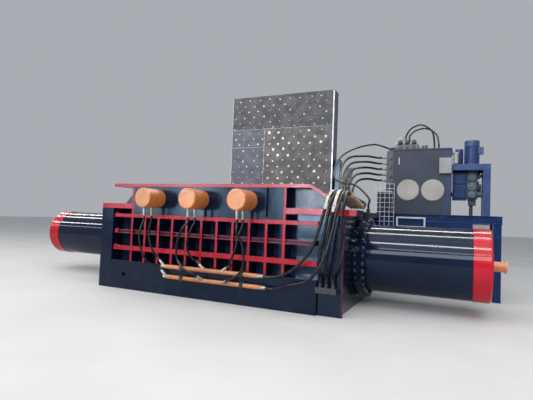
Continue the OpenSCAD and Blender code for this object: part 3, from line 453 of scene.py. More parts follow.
@dataclass(frozen=True)
class Finish:
    """A named finish that belongs to one material slot of the record."""

    name: str
    slot: str

    def material(self) -> bpy.types.Material:
        """The finish's material, made on its first use."""
        return bpy.data.materials.get(self.name) or self.build(Graph(self.name))

    def build(self, g: Graph) -> bpy.types.Material:
        """Fills the graph."""
        raise NotImplementedError


class Split(Enum):
    """Where a two-colour paint changes: axis and the two places, in shop coordinates, of the change."""

    NONE = None                     # one colour
    FRONT = (1, 0.17, 0.18)         # only faces that look to the front carry the main colour
    FRONT_EDGE = (1, 0.030, 0.036)  # the same, and only within the front 30 mm of the ribs
    RIGHT_LINE = (0, 4.252, 4.246)  # only the outermost upright strip of the right end block's lip


@dataclass(frozen=True)
class Zone:
    """Box in shop coordinates whose inside has its own colour."""

    low: Point
    high: Point
    colour: Colour

    def mask(self, g: Graph) -> object:
        """1 inside the box, 0 outside."""
        factor: object = 1.0
        for axis, value in enumerate(g.axes()):
            factor = g.times(factor, g.math("GREATER_THAN", value, self.low[axis] + SHOP[axis]))
            factor = g.times(factor, g.math("LESS_THAN", value, self.high[axis] + SHOP[axis]))
        return factor


@dataclass(frozen=True)
class Paint(Finish):
    """Sprayed gloss paint on welded plate: orange peel, settled dust, runs of dirt and chipped edges."""

    colour: Colour
    second: Colour = NAVY
    split: Split = Split.NONE
    rough: float = 0.28
    dust: float = 0.35
    chips: float = 0.5
    dirt: float = 0.4
    bare: Colour = (0.20, 0.17, 0.15)
    peel: float = 0.10
    edge: float = 0.006
    sheen: Colour = (0.62, 0.80, 1.0)
    ior: float = 1.40
    zones: tuple[Zone, ...] = ()
    drift: Pair = (0.72, 1.12)
    film: float = 0.08
    run_shape: Point = (2.4, 2.4, 0.22)
    front_facing: Pair = (-0.85, -0.6)
    level: Pair = (0.55, 0.95)
    splash_height: float = 0.7

    def region(self, g: Graph) -> Socket:
        """Factor that is 1 where the second colour shows: off the front faces and past the split."""
        axis, low, high = self.split.value
        return g.math("MAXIMUM", g.step(g.facing()[1], *self.front_facing),
                      g.step(g.axes()[axis], SHOP[axis] + low, SHOP[axis] + high))

    def build(self, g: Graph) -> bpy.types.Material:
        """Layers: two-colour base, tone drift, dirt runs, dust on ledges, chips on edges."""
        base: object = self.colour
        if self.split is not Split.NONE:
            base = g.mix(self.region(g), self.colour, self.second)
        for zone in self.zones:
            base = g.mix(zone.mask(g), base, zone.colour)
        base = g.shade(base, g.patches(Pattern.TONE, *self.drift))
        base = g.mix(g.patches(Pattern.DRY_FILM, self.dust * self.film), base, DRY_FILM)
        dirty = g.patches(Pattern.RUNS, self.dirt * 0.4, vector=g.stretch(self.run_shape))
        base = g.mix(dirty, base, g.mix(0.5, base, SOOT))
        ledge = g.times(g.step(g.facing()[2], *self.level), g.patches(Pattern.LEDGE_DUST))
        low = g.times(g.step(g.axes()[2], self.splash_height, 0.0), g.patches(Pattern.LOW_DUST, 0.28))
        dusty = g.times(g.plus(ledge, low, True), self.dust)
        base = g.mix(dusty, base, DUST)
        soft, rim = g.edges(self.edge)
        chipped = g.times(rim, g.patches(Pattern.CHIPS, self.chips))
        base = g.mix(chipped, base, self.bare)
        haze = g.times(g.plus(dusty, dirty), 0.45)
        rough = g.gloss(g.noise(4.0, 4.0), self.rough, (-0.04, 0.05), haze)
        peel = g.plus(g.noise(70.0, 2.0), g.times(g.noise(1.6, 2.0), 8.0))
        normal = g.bump(peel, self.peel, distance=0.003, normal=soft)
        return g.finish(base, rough, normal, IOR=self.ior, Specular_Tint=self.sheen)


@dataclass(frozen=True)
class Steel(Finish):
    """Bare rolled steel: mill scale patches, rust bloom, long scratches and rubbed edges."""

    light: Colour = (0.30, 0.29, 0.28)
    dark: Colour = (0.10, 0.095, 0.09)
    rust: float = 0.35
    rough: float = 0.42
    metallic: float = 0.85
    grain: Point = (12.0, 1.0, 12.0)

    def build(self, g: Graph) -> bpy.types.Material:
        """Layers: scale patches, rust bloom, scratches along the work direction."""
        patch = g.patches(Pattern.MILL_SCALE)
        scratch = g.noise(40.0, 4.0, 0.7, g.stretch(self.grain))
        base = g.mix(patch, self.dark, self.light)
        bloom = g.patches(Pattern.RUST, self.rust)
        base = g.mix(bloom, base, RUST)
        soft, rim = g.edges(radius=0.005)
        base = g.mix(g.times(rim, 0.7), base, gain(self.light, 1.9))
        base = g.mix(g.step(scratch, 0.60, 0.72, (0.0, 0.5)), base, gain(self.light, 1.6))
        rough = g.plus(g.step(patch, 0.0, 1.0, (self.rough + 0.14, self.rough - 0.06)), g.times(bloom, 0.5), True)
        height = g.plus(scratch, g.times(patch, 0.6))
        return g.finish(base, rough, g.bump(height, strength=0.25, distance=0.002, normal=soft), Metallic=self.metallic)


@dataclass(frozen=True)
class Plated(Finish):
    """Machined or zinc plated steel: fine turning marks, dull spots and a dirty film."""

    colour: Colour
    film: Colour = (0.20, 0.18, 0.16)
    rough: float = 0.32
    grime: float = 0.35
    metallic: float = 1.0

    def build(self, g: Graph) -> bpy.types.Material:
        """Layers: tone drift, film in patches, fine marks."""
        fine = g.noise(180.0, 3.0, 0.6)
        base = g.mix(g.patches(Pattern.DULL, 0.3), self.colour, gain(self.colour, 0.62))
        film = g.patches(Pattern.GREASE, self.grime)
        base = g.mix(film, base, self.film)
        soft, rim = g.edges(radius=0.003)
        base = g.mix(g.times(rim, 0.5), base, gain(self.colour, 1.35))
        rough = g.gloss(fine, self.rough, (-0.04, 0.08), g.times(film, 0.6))
        return g.finish(base, rough, g.bump(fine, strength=0.15, distance=0.0006, normal=soft), Metallic=self.metallic)


@dataclass(frozen=True)
class Rubber(Finish):
    """Hose cover: wrapped cloth print, scuffs and dust on its upper side."""

    colour: Colour = (0.003, 0.005, 0.010)
    rough: float = 0.28
    dust: float = 0.05

    def build(self, g: Graph) -> bpy.types.Material:
        """Layers: black cover, grey scuffs, settled dust, fine print in the bump."""
        scuff = g.patches(Pattern.SCUFFS, 0.10)
        base = g.mix(scuff, self.colour, SCUFF)
        top = g.step(g.axes(g.geometry.outputs["Normal"])[2], 0.35, 0.95)
        dusty = g.times(top, g.patches(Pattern.HOSE_DUST, self.dust))
        base = g.mix(dusty, base, HOSE_DUST)
        rough = g.gloss(g.noise(30.0), self.rough, (-0.06, 0.08), g.times(dusty, 0.6))
        cloth = g.fill(g.add("TexWave", bands_direction="DIAGONAL"), Scale=90.0, Vector=g.object)
        return g.finish(base, rough, g.bump(cloth.outputs["Fac"], strength=0.03, distance=0.0001), IOR=1.36)


# Painted reflection: the side walls get a lighter copy of the body navy, standing in for window light reflected in the
# recessed panels.
WALL_NAVY_PAINTED_REFLECTION = Paint("wall_navy_painted_reflection", "body_paint", (0.013, 0.030, 0.080), rough=0.16, dust=0.12, peel=0.06)
BODY_NAVY = Paint("navy_gloss", "body_paint", NAVY, rough=0.16, dust=0.12, dirt=0.3, peel=0.06, ior=1.34)
RIB_RED = Paint("rib_red", "red_paint", RED, split=Split.FRONT_EDGE, rough=0.24, dust=0.03, sheen=COOL, ior=1.32)
RAIL_RED = Paint("rail_red", "red_paint", RED, split=Split.FRONT, rough=0.24, dust=0.08, sheen=COOL, ior=1.42)
CAP_RED = Paint("cap_red", "red_paint", (0.50, 0.006, 0.022), rough=0.14, dust=0.12, chips=0.4, dirt=0.2, peel=0.05,
                sheen=(1.0, 0.95, 0.95))
END_NAVY = Paint("end_block_navy", "body_paint", (0.070, 0.007, 0.024), split=Split.RIGHT_LINE, rough=0.18, dust=0.12)
BARREL_NAVY = Paint("barrel_navy", "body_paint", (0.0030, 0.0100, 0.0320), rough=0.07, dust=0.1, dirt=0.15,
                    peel=0.012, sheen=(0.80, 0.90, 1.0), ior=1.36)
# Partly painted highlight: the many light grey chips on the nut edges are wear, and also stand in for the small
# highlights on each nut.
BOLT = Paint("bolt_navy", "zinc", (0.034, 0.044, 0.068), rough=0.34, dust=0.3, chips=0.9, bare=(0.30, 0.30, 0.31),
             sheen=(0.9, 0.95, 1.0))
LINER = Steel("wear_plate", "liner_steel")
ROD = Plated("chromed_rod", "rod_chrome", (0.70, 0.70, 0.71), rough=0.1, grime=0.12)
GLAND = Plated("turned_steel", "gland_steel", (0.36, 0.35, 0.35))
ZINC = Plated("zinc_plate", "zinc", (0.32, 0.29, 0.26), rough=0.42, grime=0.6, metallic=0.7)
CLAMP = Paint("clamp_paint", "clamp_black", (0.012, 0.012, 0.013), rough=0.4)
GUARD = Paint("guard_grey_paint", "guard_grey", (0.22, 0.22, 0.23), rough=0.4)
HOSE = Rubber("hose_cover", "hose_rubber")


# Camera, light, floor


def turn_of(right: np.ndarray, above: np.ndarray, back: np.ndarray, at: Sequence[float]) -> Matrix:
    """Matrix of an object whose own axes are `right`, `above` and `back`, standing at `at`."""
    turn = np.eye(4)
    turn[:3] = np.column_stack([right, above, back, at])
    return Matrix(turn.tolist())


@dataclass
class Studio:
    """Camera at the photo's place, a pale floor and soft lights. Angles in radians, lengths in metres.

    Soft lamps are rows of Y, Z and watts. Roof lines are Y, Z, width and glow, windows X, width and glow:
    both show in reflections only. Their aims are Y and Z of the line that they look at.
    """

    eye: Point = (4.395, -8.3907, 1.55)
    yaw: float = 0.4337
    pitch: float = 0.0396
    roll: float = 0.0387
    focal_pixels: float = 415.0
    picture_width: float = 533.0
    sensor_mm: float = 36.0
    floor_half: float = 60.0
    floor_z: float = -0.001
    floor_tones: tuple[Colour, Colour] = ((0.60, 0.60, 0.60), (0.66, 0.66, 0.655))
    sky: Colour = (0.80, 0.84, 0.90)
    sky_strength: float = 0.5
    soft_lamps: Route = ((-9.0, 10.0, 650.0), (-5.5, 12.0, 500.0), (-1.0, 12.0, 350.0))
    soft_size: Pair = (26.0, 5.0)
    soft_aim: Point = (0.0, 0.0, 1.0)
    roof_lines: tuple[tuple[float, ...], ...] = (
        (6.5, 11.0, 0.7, 17.0), (0.7, 12.0, 0.7, 19.0), (-7.9, 12.0, 0.8, 24.0), (-11.6, 9.0, 0.7, 6.0))
    line_x: float = -9.0
    line_length: float = 54.0
    line_aim: Pair = (-0.4, 1.0)
    line_tint: Colour = (1.0, 0.94, 0.84)
    windows: Route = ((-15.5, 3.4, 6.0), (-11.0, 2.6, 10.0), (-7.2, 1.6, 6.0), (-3.3, 2.6, 17.0))
    window_high: float = 5.0
    window_tint: Colour = (0.80, 0.91, 1.0)
    window_z: float = 3.6
    window_aim: Pair = (-2.0, 2.6)
    wall_y: float = -18.0
    gloss_gain: float = 1.6
    front: Point = (4.0, -18.0, 9.0)
    front_aim: Point = (0.0, 0.0, 1.5)
    front_size: Pair = (12.0, 4.0)
    front_watts: float = 1100.0

    def camera(self) -> None:
        """Looks along (-sin yaw cos pitch, cos yaw cos pitch, sin pitch), then rolls about that line."""
        level = math.cos(self.pitch)
        ahead = np.array([-math.sin(self.yaw) * level, math.cos(self.yaw) * level, math.sin(self.pitch)])
        right = np.array([math.cos(self.yaw), math.sin(self.yaw), 0.0])
        above = np.cross(right, ahead)
        c, s = math.cos(self.roll), math.sin(self.roll)
        data = bpy.data.cameras.new("camera")
        data.sensor_width, data.lens = self.sensor_mm, self.focal_pixels * self.sensor_mm / self.picture_width
        data.clip_end = 300.0
        obj = linked("camera", data)
        obj.matrix_world = turn_of(c * right + s * above, c * above - s * right, -ahead, self.eye)
        bpy.context.scene.camera = obj

    def lamp(self, name: str, at: Point, aim: Point, size: Pair, watts: float,
             tint: Colour = WHITE, gloss_only: bool = False) -> None:
        """One soft rectangular lamp.

        Args:
            name: its name.
            at: place.
            aim: point that it looks at.
            size: width and height.
            watts: power.
            tint: colour.
            gloss_only: whether it shows in reflections and lights nothing else.
        """
        data = bpy.data.lights.new(name, "AREA")
        data.shape, data.size, data.size_y, data.energy, data.color = "RECTANGLE", size[0], size[1], watts, tint
        obj = linked(name, data)
        obj.visible_diffuse = not gloss_only
        back = unit(np.subtract(at, aim))
        side = unit(np.cross((0, 0, 1.0) if abs(back[2]) < 0.99 else (0, 1.0, 0), back))
        obj.matrix_world = turn_of(side, np.cross(back, side), back, at)

    def glowing(self, name: str, at: Point, aim: Point, size: Pair, glow: float, tint: Colour) -> None:
        """Lamp that shows in reflections only; its power follows from its area and its glow."""
        self.lamp(name, at, aim, size, self.gloss_gain * glow * math.pi * size[0] * size[1], tint, True)

    def light(self) -> None:
        """Pale even surroundings, a row of skylight strips and a large lamp at the front."""
        world = bpy.data.worlds.new("surroundings")
        world.use_nodes = True
        ground = world.node_tree.nodes["Background"]
        ground.inputs[0].default_value = (*self.sky, 1.0)
        ground.inputs[1].default_value = self.sky_strength
        bpy.context.scene.world = world
        bpy.context.scene.view_settings.view_transform = "Standard"
        for k, (y, z, watts) in enumerate(self.soft_lamps):
            self.lamp(f"roof_soft_{k}", (0.0, y, z), self.soft_aim, self.soft_size, watts)
        for k, (y, z, wide, glow) in enumerate(self.roof_lines):
            self.glowing(f"roof_line_{k}", (self.line_x, y, z), (self.line_x, *self.line_aim),
                         (self.line_length, wide), glow, self.line_tint)
        for k, (x, wide, glow) in enumerate(self.windows):
            self.glowing(f"window_{k}", (x, self.wall_y, self.window_z), (x, *self.window_aim),
                         (wide, self.window_high), glow, self.window_tint)
        self.lamp("front", self.front, self.front_aim, self.front_size, self.front_watts)

    def floor(self) -> None:
        """A wide pale sheet just below the part."""
        h, z = self.floor_half, self.floor_z
        mesh = bpy.data.meshes.new("floor")
        mesh.from_pydata([(-h, -h, z), (h, -h, z), (h, h, z), (-h, h, z)], [], [(0, 1, 2, 3)])
        g = Graph("floor")
        tone = g.mix(g.patches(Pattern.FLOOR), *self.floor_tones)
        mesh.materials.append(g.finish(tone, 0.75, g.bump(g.noise(30.0), strength=0.05, distance=0.002)))
        obj = linked("floor", mesh)


def dress(*rows: tuple[Finish, str]) -> None:
    """Gives CAD nodes their finishes through their material slots.

    Args:
        rows: a finish, and the names of its nodes with spaces between them.
    """
    for finish, names in rows:
        for name in names.split():
            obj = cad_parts[name]
            if not obj.material_slots:
                obj.data.materials.append(finish.material())
            for slot in obj.material_slots:
                slot.material = finish.material()
            LOG.info("%s: finish %s", name, finish.name)


# Hoses


SLEEVE_FRONT: Pair = (0.15, 1.97)   # Y and Z of the hose row at the front edge of the sleeve
SLEEVE_BACK: Pair = (1.15, 1.80)    # the same at its rear edge


@dataclass
class Hoses:
    """Fourteen oil hoses, each on the route of its solid. Points in metres, shop coordinates.

    A tap is X and Z on its pipe, slope and lean to the front in degrees. A row of bank_way is X, Y and Z of
    the first hose of the row, then the three steps to the next hose.
    """

    thin: float = 0.020
    thick: float = 0.025
    steps: int = 5
    lock_x: Point = (0.62, 1.6, 2.58)
    port_y: Pair = (-0.38, -0.17)
    port_z: float = 1.48
    straight: float = 0.09
    pipe_y: float = -0.08
    tap: float = 0.15
    taps: tuple[tuple[float, ...], ...] = (
        (0.90, 0.545, 135, 0), (1.80, 0.545, 140, 0), (2.13, 0.545, 35, 0),
        (0.95, 0.36, 135, 0), (1.79, 0.36, 140, 35), (2.19, 0.36, 25, 35))
    front_mid: tuple[Route, ...] = (
        ((.55, -.40, 1.13), (.56, -.32, .80), (.65, -.23, .61)),
        ((1.5, -.41, 1.26), (1.37, -.35, 1.0), (1.33, -.29, .78), (1.42, -.28, .62), (1.53, -.27, .54)),
        ((2.6, -.41, 1.27), (2.67, -.34, 1.07), (2.69, -.30, .79), (2.63, -.29, .61), (2.5, -.27, .50)))
    rear_mid: tuple[Route, ...] = (
        ((.58, -.17, 1.24), (.61, -.17, .98), (.68, -.14, .80)),
        ((1.55, -.19, 1.28), (1.47, -.19, 1.05), (1.49, -.17, .86), (1.58, -.12, .72)),
        ((2.53, -.19, 1.23), (2.46, -.20, .94), (2.35, -.15, .73)))
    bank_way: tuple[tuple[float, ...], ...] = (
        (4.30, 3.29, 3.0, 0, 0, -.13), (4.19, 3.29, 3.0, 0, 0, -.13), (3.96, 3.06, 3.01, .01, 0, -.13),
        (3.68, 2.65, 2.92, .05, 0, -.13), (3.6, 2.3, 2.62, .06, .02, -.11), (3.72, 1.9, 2.18, .06, .04, -.04),
        (4.03, 1.5, 1.88, .055, .04, 0))
    row_x: Pair = (4.09, 0.055)
    row_shares: tuple[float, ...] = (1.12, 1.0, 0.85, 0.5, 0.15, 0.0, -0.08)
    tails: dict[str, Route] = field(default_factory=lambda: {
        "hose_feed_1": ((4.075, -.05, 1.945), (4.04, -.13, 1.85), (4.0, -.18, 1.64), (3.94, -.21, 1.39),
                        (3.82, -.20, 1.06), (3.58, -.17, .77), (3.33, -.12, .61), (3.09, -.08, .545),
                        (2.96, -.08, .545)),
        "hose_main_1": ((4.138, -.05, 1.945), (4.11, -.11, 1.86), (4.06, -.14, 1.64), (4.02, -.14, 1.39),
                        (3.96, -.14, 1.06), (3.93, -.11, .76), (3.93, -.01, .63), (3.93, -.01, .52)),
        "hose_main_2": ((4.196, -.05, 1.945), (4.18, -.12, 1.86), (4.13, -.16, 1.64), (4.09, -.15, 1.39),
                        (4.05, -.14, 1.06), (4.03, -.11, .76), (4.03, -.01, .63), (4.03, -.01, .52)),
        "hose_feed_2": ((4.253, -.05, 1.945), (4.245, -.13, 1.86), (4.2, -.20, 1.64), (4.17, -.24, 1.4),
                        (4.09, -.27, 1.05), (3.96, -.28, .76), (3.76, -.24, .56), (3.45, -.18, .46),
                        (3.15, -.08, .36), (3.01, -.08, .36)),
        "hose_main_3": ((4.312, -.05, 1.945), (4.315, -.11, 1.86), (4.28, -.14, 1.64), (4.27, -.14, 1.39),
                        (4.25, -.14, 1.06), (4.18, -.11, .76), (4.14, -.01, .63), (4.14, -.01, .52))})
    arcs: dict[str, Route] = field(default_factory=lambda: {
        "hose_arc_1": ((4.77, 3.57, 3.45), (4.77, 3.57, 3.53), (4.88, 3.53, 3.69), (5.11, 3.51, 3.76),
                       (5.33, 3.53, 3.60), (5.38, 3.57, 3.33), (5.38, 3.57, 3.23)),
        "hose_arc_2": ((4.85, 3.57, 3.45), (4.85, 3.57, 3.53), (4.97, 3.63, 3.66), (5.20, 3.65, 3.70),
                       (5.41, 3.62, 3.56), (5.47, 3.57, 3.33), (5.47, 3.57, 3.23)),
        "hose_cylinder": ((4.49, 3.50, 3.25), (4.38, 3.50, 3.25), (4.13, 3.18, 3.29), (3.80, 2.90, 3.18),
                          (3.56, 2.60, 2.98), (3.47, 2.30, 2.70), (3.56, 1.95, 2.40), (3.80, 1.72, 2.28),
                          (4.08, 1.59, 2.22), (4.345, 1.55, 1.98), (4.345, 1.55, 1.85), (4.345, 1.55, 1.76))})

    def lock_route(self, index: int, rear: bool) -> np.ndarray:
        """Control points from a lock cylinder's port to its tap on the pipes."""
        tap_x, tap_z, *angles = self.taps[index if rear else index + 3]
        slope, lean = map(math.radians, angles)
        way = np.array([math.cos(slope) * math.cos(lean), -math.sin(lean), math.sin(slope) * math.cos(lean)])
        end = np.array([tap_x, self.pipe_y, tap_z]) + self.tap * way
        x, y = self.lock_x[index], self.port_y[rear]
        mid = (self.rear_mid if rear else self.front_mid)[index]
        start = [(x, y, self.port_z), (x, y, self.port_z - self.straight)]
        return np.array([*start, *mid, end + self.straight * way, end])

    def bank_route(self, k: int) -> list[Point]:
        """Control points of hose k of the row, from the manifold to the front edge of the sleeve."""
        (ya, za), (yb, zb) = SLEEVE_FRONT, SLEEVE_BACK
        way = [(x + dx * k, y + dy * k, z + dz * k) for x, y, z, dx, dy, dz in self.bank_way]
        return way + [(self.row_x[0] + self.row_x[1] * k, ya + u * (yb - ya), za + u * (zb - za))
                      for u in self.row_shares]

    def routes(self) -> dict[str, tuple[Points, float]]:
        """Control points and radius of every hose, by node name."""
        out: dict[str, tuple[Points, float]] = {
            f"hose_lock_{i + 1}{'ab'[rear]}": (self.lock_route(i, rear), self.thin)
            for i in range(3) for rear in (False, True)}
        for k, (name, tail) in enumerate(self.tails.items()):
            out[name] = (self.bank_route(k) + list(tail), self.thick)
        return out | {name: (points, self.thin) for name, points in self.arcs.items()}

    def build(self) -> None:
        for node, (points, radius) in self.routes().items():
            ends = np.asarray(points, float)
            path = place(catmull(ends, self.steps))
            path[1] = path[0] + unit(ends[1] - ends[0]) * np.linalg.norm(path[1] - path[0])
            path[-2] = path[-1] - unit(ends[-1] - ends[-2]) * np.linalg.norm(path[-1] - path[-2])
            obj = piece(f"cover_{node}", tube(path, radius), HOSE)
            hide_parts(node)


# Cloth sleeve of the hose row


@dataclass(frozen=True)
class WrapCloth(Finish):
    """Old tan wrapping cloth: coarse weave, oil stains and worn threads. Reads the piece's own UV map."""

    colour: Colour = (0.50, 0.270, 0.170)
    stain: Colour = (0.15, 0.065, 0.045)
    threads: float = 260.0

    def build(self, g: Graph) -> bpy.types.Material:
        """Weave from two crossed waves on the UV map, stains from noise."""
        uv = g.add("TexCoord").outputs["UV"]
        weave = [g.fill(g.add("TexWave", bands_direction=way), Scale=self.threads, Distortion=0.6,
                        Vector=uv).outputs["Fac"] for way in ("X", "Y")]
        cross = g.times(*weave)
        fade = g.patches(Pattern.SUN_FADE, 0.55)
        base = g.mix(fade, self.colour, gain(self.colour, 1.7))
        base = g.mix(g.patches(Pattern.OIL_STAINS, 0.9), base, self.stain)
        base = g.mix(g.step(cross, 0.1, 0.8, (0.25, 0.0)), base, self.stain)
        height = g.plus(cross, g.times(g.noise(20.0, 4.0), 2.0))
        return g.finish(base, 0.88, g.bump(height, strength=0.5, distance=0.0015), Sheen_Weight=0.25)


@dataclass
class Sleeve:
    """Cloth wrapped round the row of five hoses, with two ties. Metres, shop coordinates.

    The ties lie at shares of the row's length; the tails are the hanging ends of the ties.
    """

    row: Pair = (4.09, 4.31)
    inner: float = 0.0262
    gap: float = 0.0006
    thickness: float = 0.0035
    wrinkle: float = 0.012
    rings: int = 60
    around: int = 72
    weave_size: Pair = (0.70, 1.014)
    tie_shares: Pair = (0.02, 0.13)
    tie_width: float = 0.05
    tie_lift: float = 0.0152
    strap_width: float = 0.046
    strap_thick: float = 0.003
    strap_steps: int = 8
    strap_rock: float = 0.12
    strap_flare: float = 0.10
    cloth: WrapCloth = WrapCloth("wrap_cloth", "sleeve_cloth")
    cream: WrapCloth = WrapCloth("tie_cloth", "sleeve_cloth", colour=(0.72, 0.68, 0.60), stain=(0.34, 0.30, 0.24))
    tails: tuple[Route, ...] = (
        ((4.09, .20, 2.014), (4.088, .07, 2.020), (4.075, -.065, 1.976), (4.042, -.158, 1.862), (4.03, -.180, 1.78),
         (4.02, -.198, 1.70)),
        ((4.206, .30, 1.997), (4.204, .15, 2.020), (4.202, .06, 2.020), (4.194, -.065, 1.976), (4.181, -.152, 1.864),
         (4.163, -.170, 1.77), (4.14, -.188, 1.66)))

    def shell(self, a: float, b: float, lift: float, wrinkle: float, rings: int) -> np.ndarray:
        """Grid of the cloth between two shares of the row's length.

        point(s, angle) = row centre(s) + x(angle, r) * X + r sin(angle) * up, with
        r = inner + lift + wrinkle waves(s, angle); x puts half circles at the ends of the row.

        Args:
            a: start, as a share from the front edge.
            b: end.
            lift: distance above the hoses.
            wrinkle: height of the folds.
            rings: number of rings.
        Returns:
            Array (rings, around, 3) in the shared frame.
        """
        s = np.linspace(a, b, rings)[:, None]
        ang = np.linspace(0, 2 * np.pi, self.around, endpoint=False)[None, :]
        fold = np.sin(s * 74 + 2.2 * np.sin(ang * 2) + 1.3 * np.sin(s * 23)) * 0.6 + np.sin(s * 31 - ang * 3) * 0.4
        r = self.inner + lift + wrinkle * (0.5 + 0.5 * fold)
        x = np.clip(np.cos(ang) * 3.2, -1, 1) * (self.row[1] - self.row[0]) / 2 + np.cos(ang) * r
        (ya, za), (yb, zb) = SLEEVE_FRONT, SLEEVE_BACK
        along = np.array([0.0, yb - ya, zb - za])
        side = np.array([1.0, 0, 0])
        origin = np.array([sum(self.row) / 2, ya, za])
        up = np.cross(side, unit(along))
        return place(origin + s[..., None] * along + x[..., None] * side + (np.sin(ang) * r)[..., None] * up)

    def wrap(self, name: str, a: float, b: float, lift: float, wrinkle: float, rings: int,
             finish: Finish) -> bpy.types.Object:
        """Closed thin cloth: the outer grid, and the inner grid one thickness nearer to the hoses."""
        outer = self.shell(a, b, lift + self.thickness, wrinkle, rings)
        inner = self.shell(a, b, lift, wrinkle, rings)
        m, top = self.around, (rings - 1) * self.around
        size = rings * m
        quads = grid_faces(rings, m)
        j = np.arange(m)
        k = (j + 1) % m
        low = np.stack([k, j, j + size, k + size], -1)
        high = np.stack([top + j, top + k, top + k + size, top + j + size], -1)
        faces = np.vstack([quads, quads[:, ::-1] + size, low, high]).tolist()
        obj = piece(name, (np.vstack([outer.reshape(-1, 3), inner.reshape(-1, 3)]), faces), finish)
        local = np.arange(2 * size) % size
        weave_map(obj, (local % m) / m * self.weave_size[0],
                  (a + (b - a) * (local // m) / (rings - 1)) * self.weave_size[1])
        return obj

    def strap(self, name: str, points: Points) -> bpy.types.Object:
        """Hanging end of a tie: a flat band along a route, rocking a little about its own line.

        Args:
            name: object name.
            points: control points of the middle line, shop coordinates.
        Returns:
            The band.
        """
        line = catmull(points, self.strap_steps)
        tan = unit(np.gradient(line, axis=0))
        s = np.linspace(0, 1, len(line))[:, None]
        side = np.array([[1.0, 0, 0]]) + self.strap_rock * np.sin(9 * s + len(points)) * np.array([[0, 1.0, 0.3]])
        side = unit(side - (side * tan).sum(1)[:, None] * tan)
        out = np.cross(tan, side)
        out *= np.sign((out * np.array([0, -0.4, 1.0])).sum(1))[:, None] * self.strap_thick
        edge = self.strap_width / 2 * (1 + self.strap_flare * np.sin(23 * s + 1.0)) * side
        rings = np.stack([line + edge, line + edge + out, line - edge + out, line - edge], 1)
        obj = piece(name, capped(place(rings)), self.cream)
        index = np.arange(4 * len(line))
        weave_map(obj, (index % 4 // 2) * self.strap_width, index // 4 / len(line) * 0.5)
        return obj

    def build(self) -> None:
        """Sleeve, its two ties near the front edge and their hanging ends."""
        sleeve = self.wrap("sleeve_wrap", 0.0, 1.0, self.gap, self.wrinkle, self.rings, self.cloth)
        ties = [self.wrap(f"sleeve_tie_{i}", a, a + self.tie_width, self.tie_lift, 0.0, 4, self.cream)
                for i, a in enumerate(self.tie_shares)]
        ties += [self.strap(f"sleeve_strap_{i}", points) for i, points in enumerate(self.tails)]
        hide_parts("hose_sleeve")


# Press


@dataclass
class PressBody:
    """Frame, ribs, beam and rails, and the bare plates at the right end. Metres, shop coordinates."""

    chamfer: float = 0.002
    cover_end: Box = ((4.289, 0.0, 1.605), (4.470, 0.50, 1.705))
    block_lip: Box = ((4.219, 0.06, 0.0), (4.275, 0.10, 1.604))

    def build(self) -> None:
        """Finishes of the solids, the free end of the front cover strip and the lip of the end block."""
        # side_walls carry the navy with painted reflection.
        dress((BODY_NAVY, "base_frame lock_beam left_end hinge_ears"), (WALL_NAVY_PAINTED_REFLECTION, "side_walls"),
              (RIB_RED, "front_ribs"), (RAIL_RED, "top_rail channel_covers"), (END_NAVY, "right_end"),
              (LINER, "wear_liners"), (ROD, "hinge_pins"))
        box_piece("cover_strip_end", RAIL_RED, self.chamfer, self.cover_end)
        box_piece("end_block_lip", END_NAVY, self.chamfer, self.block_lip)


SEAM_X, SEAM_Z = 1.45, 3.74     # upright seam and upper level seam between the lid's plates, shop coordinates
SEAM_BLUR = 0.005               # half the width over which the tint changes at a seam


@dataclass(frozen=True)
class LidSteel(Steel):
    """Wear plate of the lid: brown grey at the lower right, blue grey at the left, dark in the upper band."""

    left_tone: Colour = (0.056, 0.063, 0.090)
    upper_tone: Colour = (0.020, 0.023, 0.032)
    speck_tone: Colour = (0.34, 0.33, 0.33)
    tone: float = 0.85
    # Painted light and shade: over this X span the colour is scaled from 1.16 at the left to 0.70 at the right.
    painted_shade_x: Pair = (0.9, 3.1)
    fade: Pair = (1.16, 0.70)

    def build(self, g: Graph) -> bpy.types.Material:
        """The steel's layers, on a base that is tinted plate by plate and then given painted light and shade: brighter
        at the left, darker towards the right.
        """
        mat = super().build(g)
        base = g.bsdf.inputs["Base Color"].links[0].from_socket
        x, _, z = g.axes()
        seam = SHOP[0] + SEAM_X
        upper = g.step(z, SEAM_Z - SEAM_BLUR, SEAM_Z + SEAM_BLUR)
        lower_left = g.times(g.step(x, seam + SEAM_BLUR, seam - SEAM_BLUR), g.math("SUBTRACT", 1.0, upper))
        base = g.mix(g.times(lower_left, self.tone), base, self.left_tone)
        base = g.mix(g.times(upper, self.tone), base, self.upper_tone)
        # Painted light and shade: brighter at the left, darker towards the right.
        base = g.shade(base, g.step(x, SHOP[0] + self.painted_shade_x[0], SHOP[0] + self.painted_shade_x[1], self.fade))
        speck = g.times(g.patches(Pattern.SPECKS, 0.30), self.tone)
        g.put(g.bsdf.inputs["Base Color"], g.mix(speck, base, self.speck_tone))
        return mat


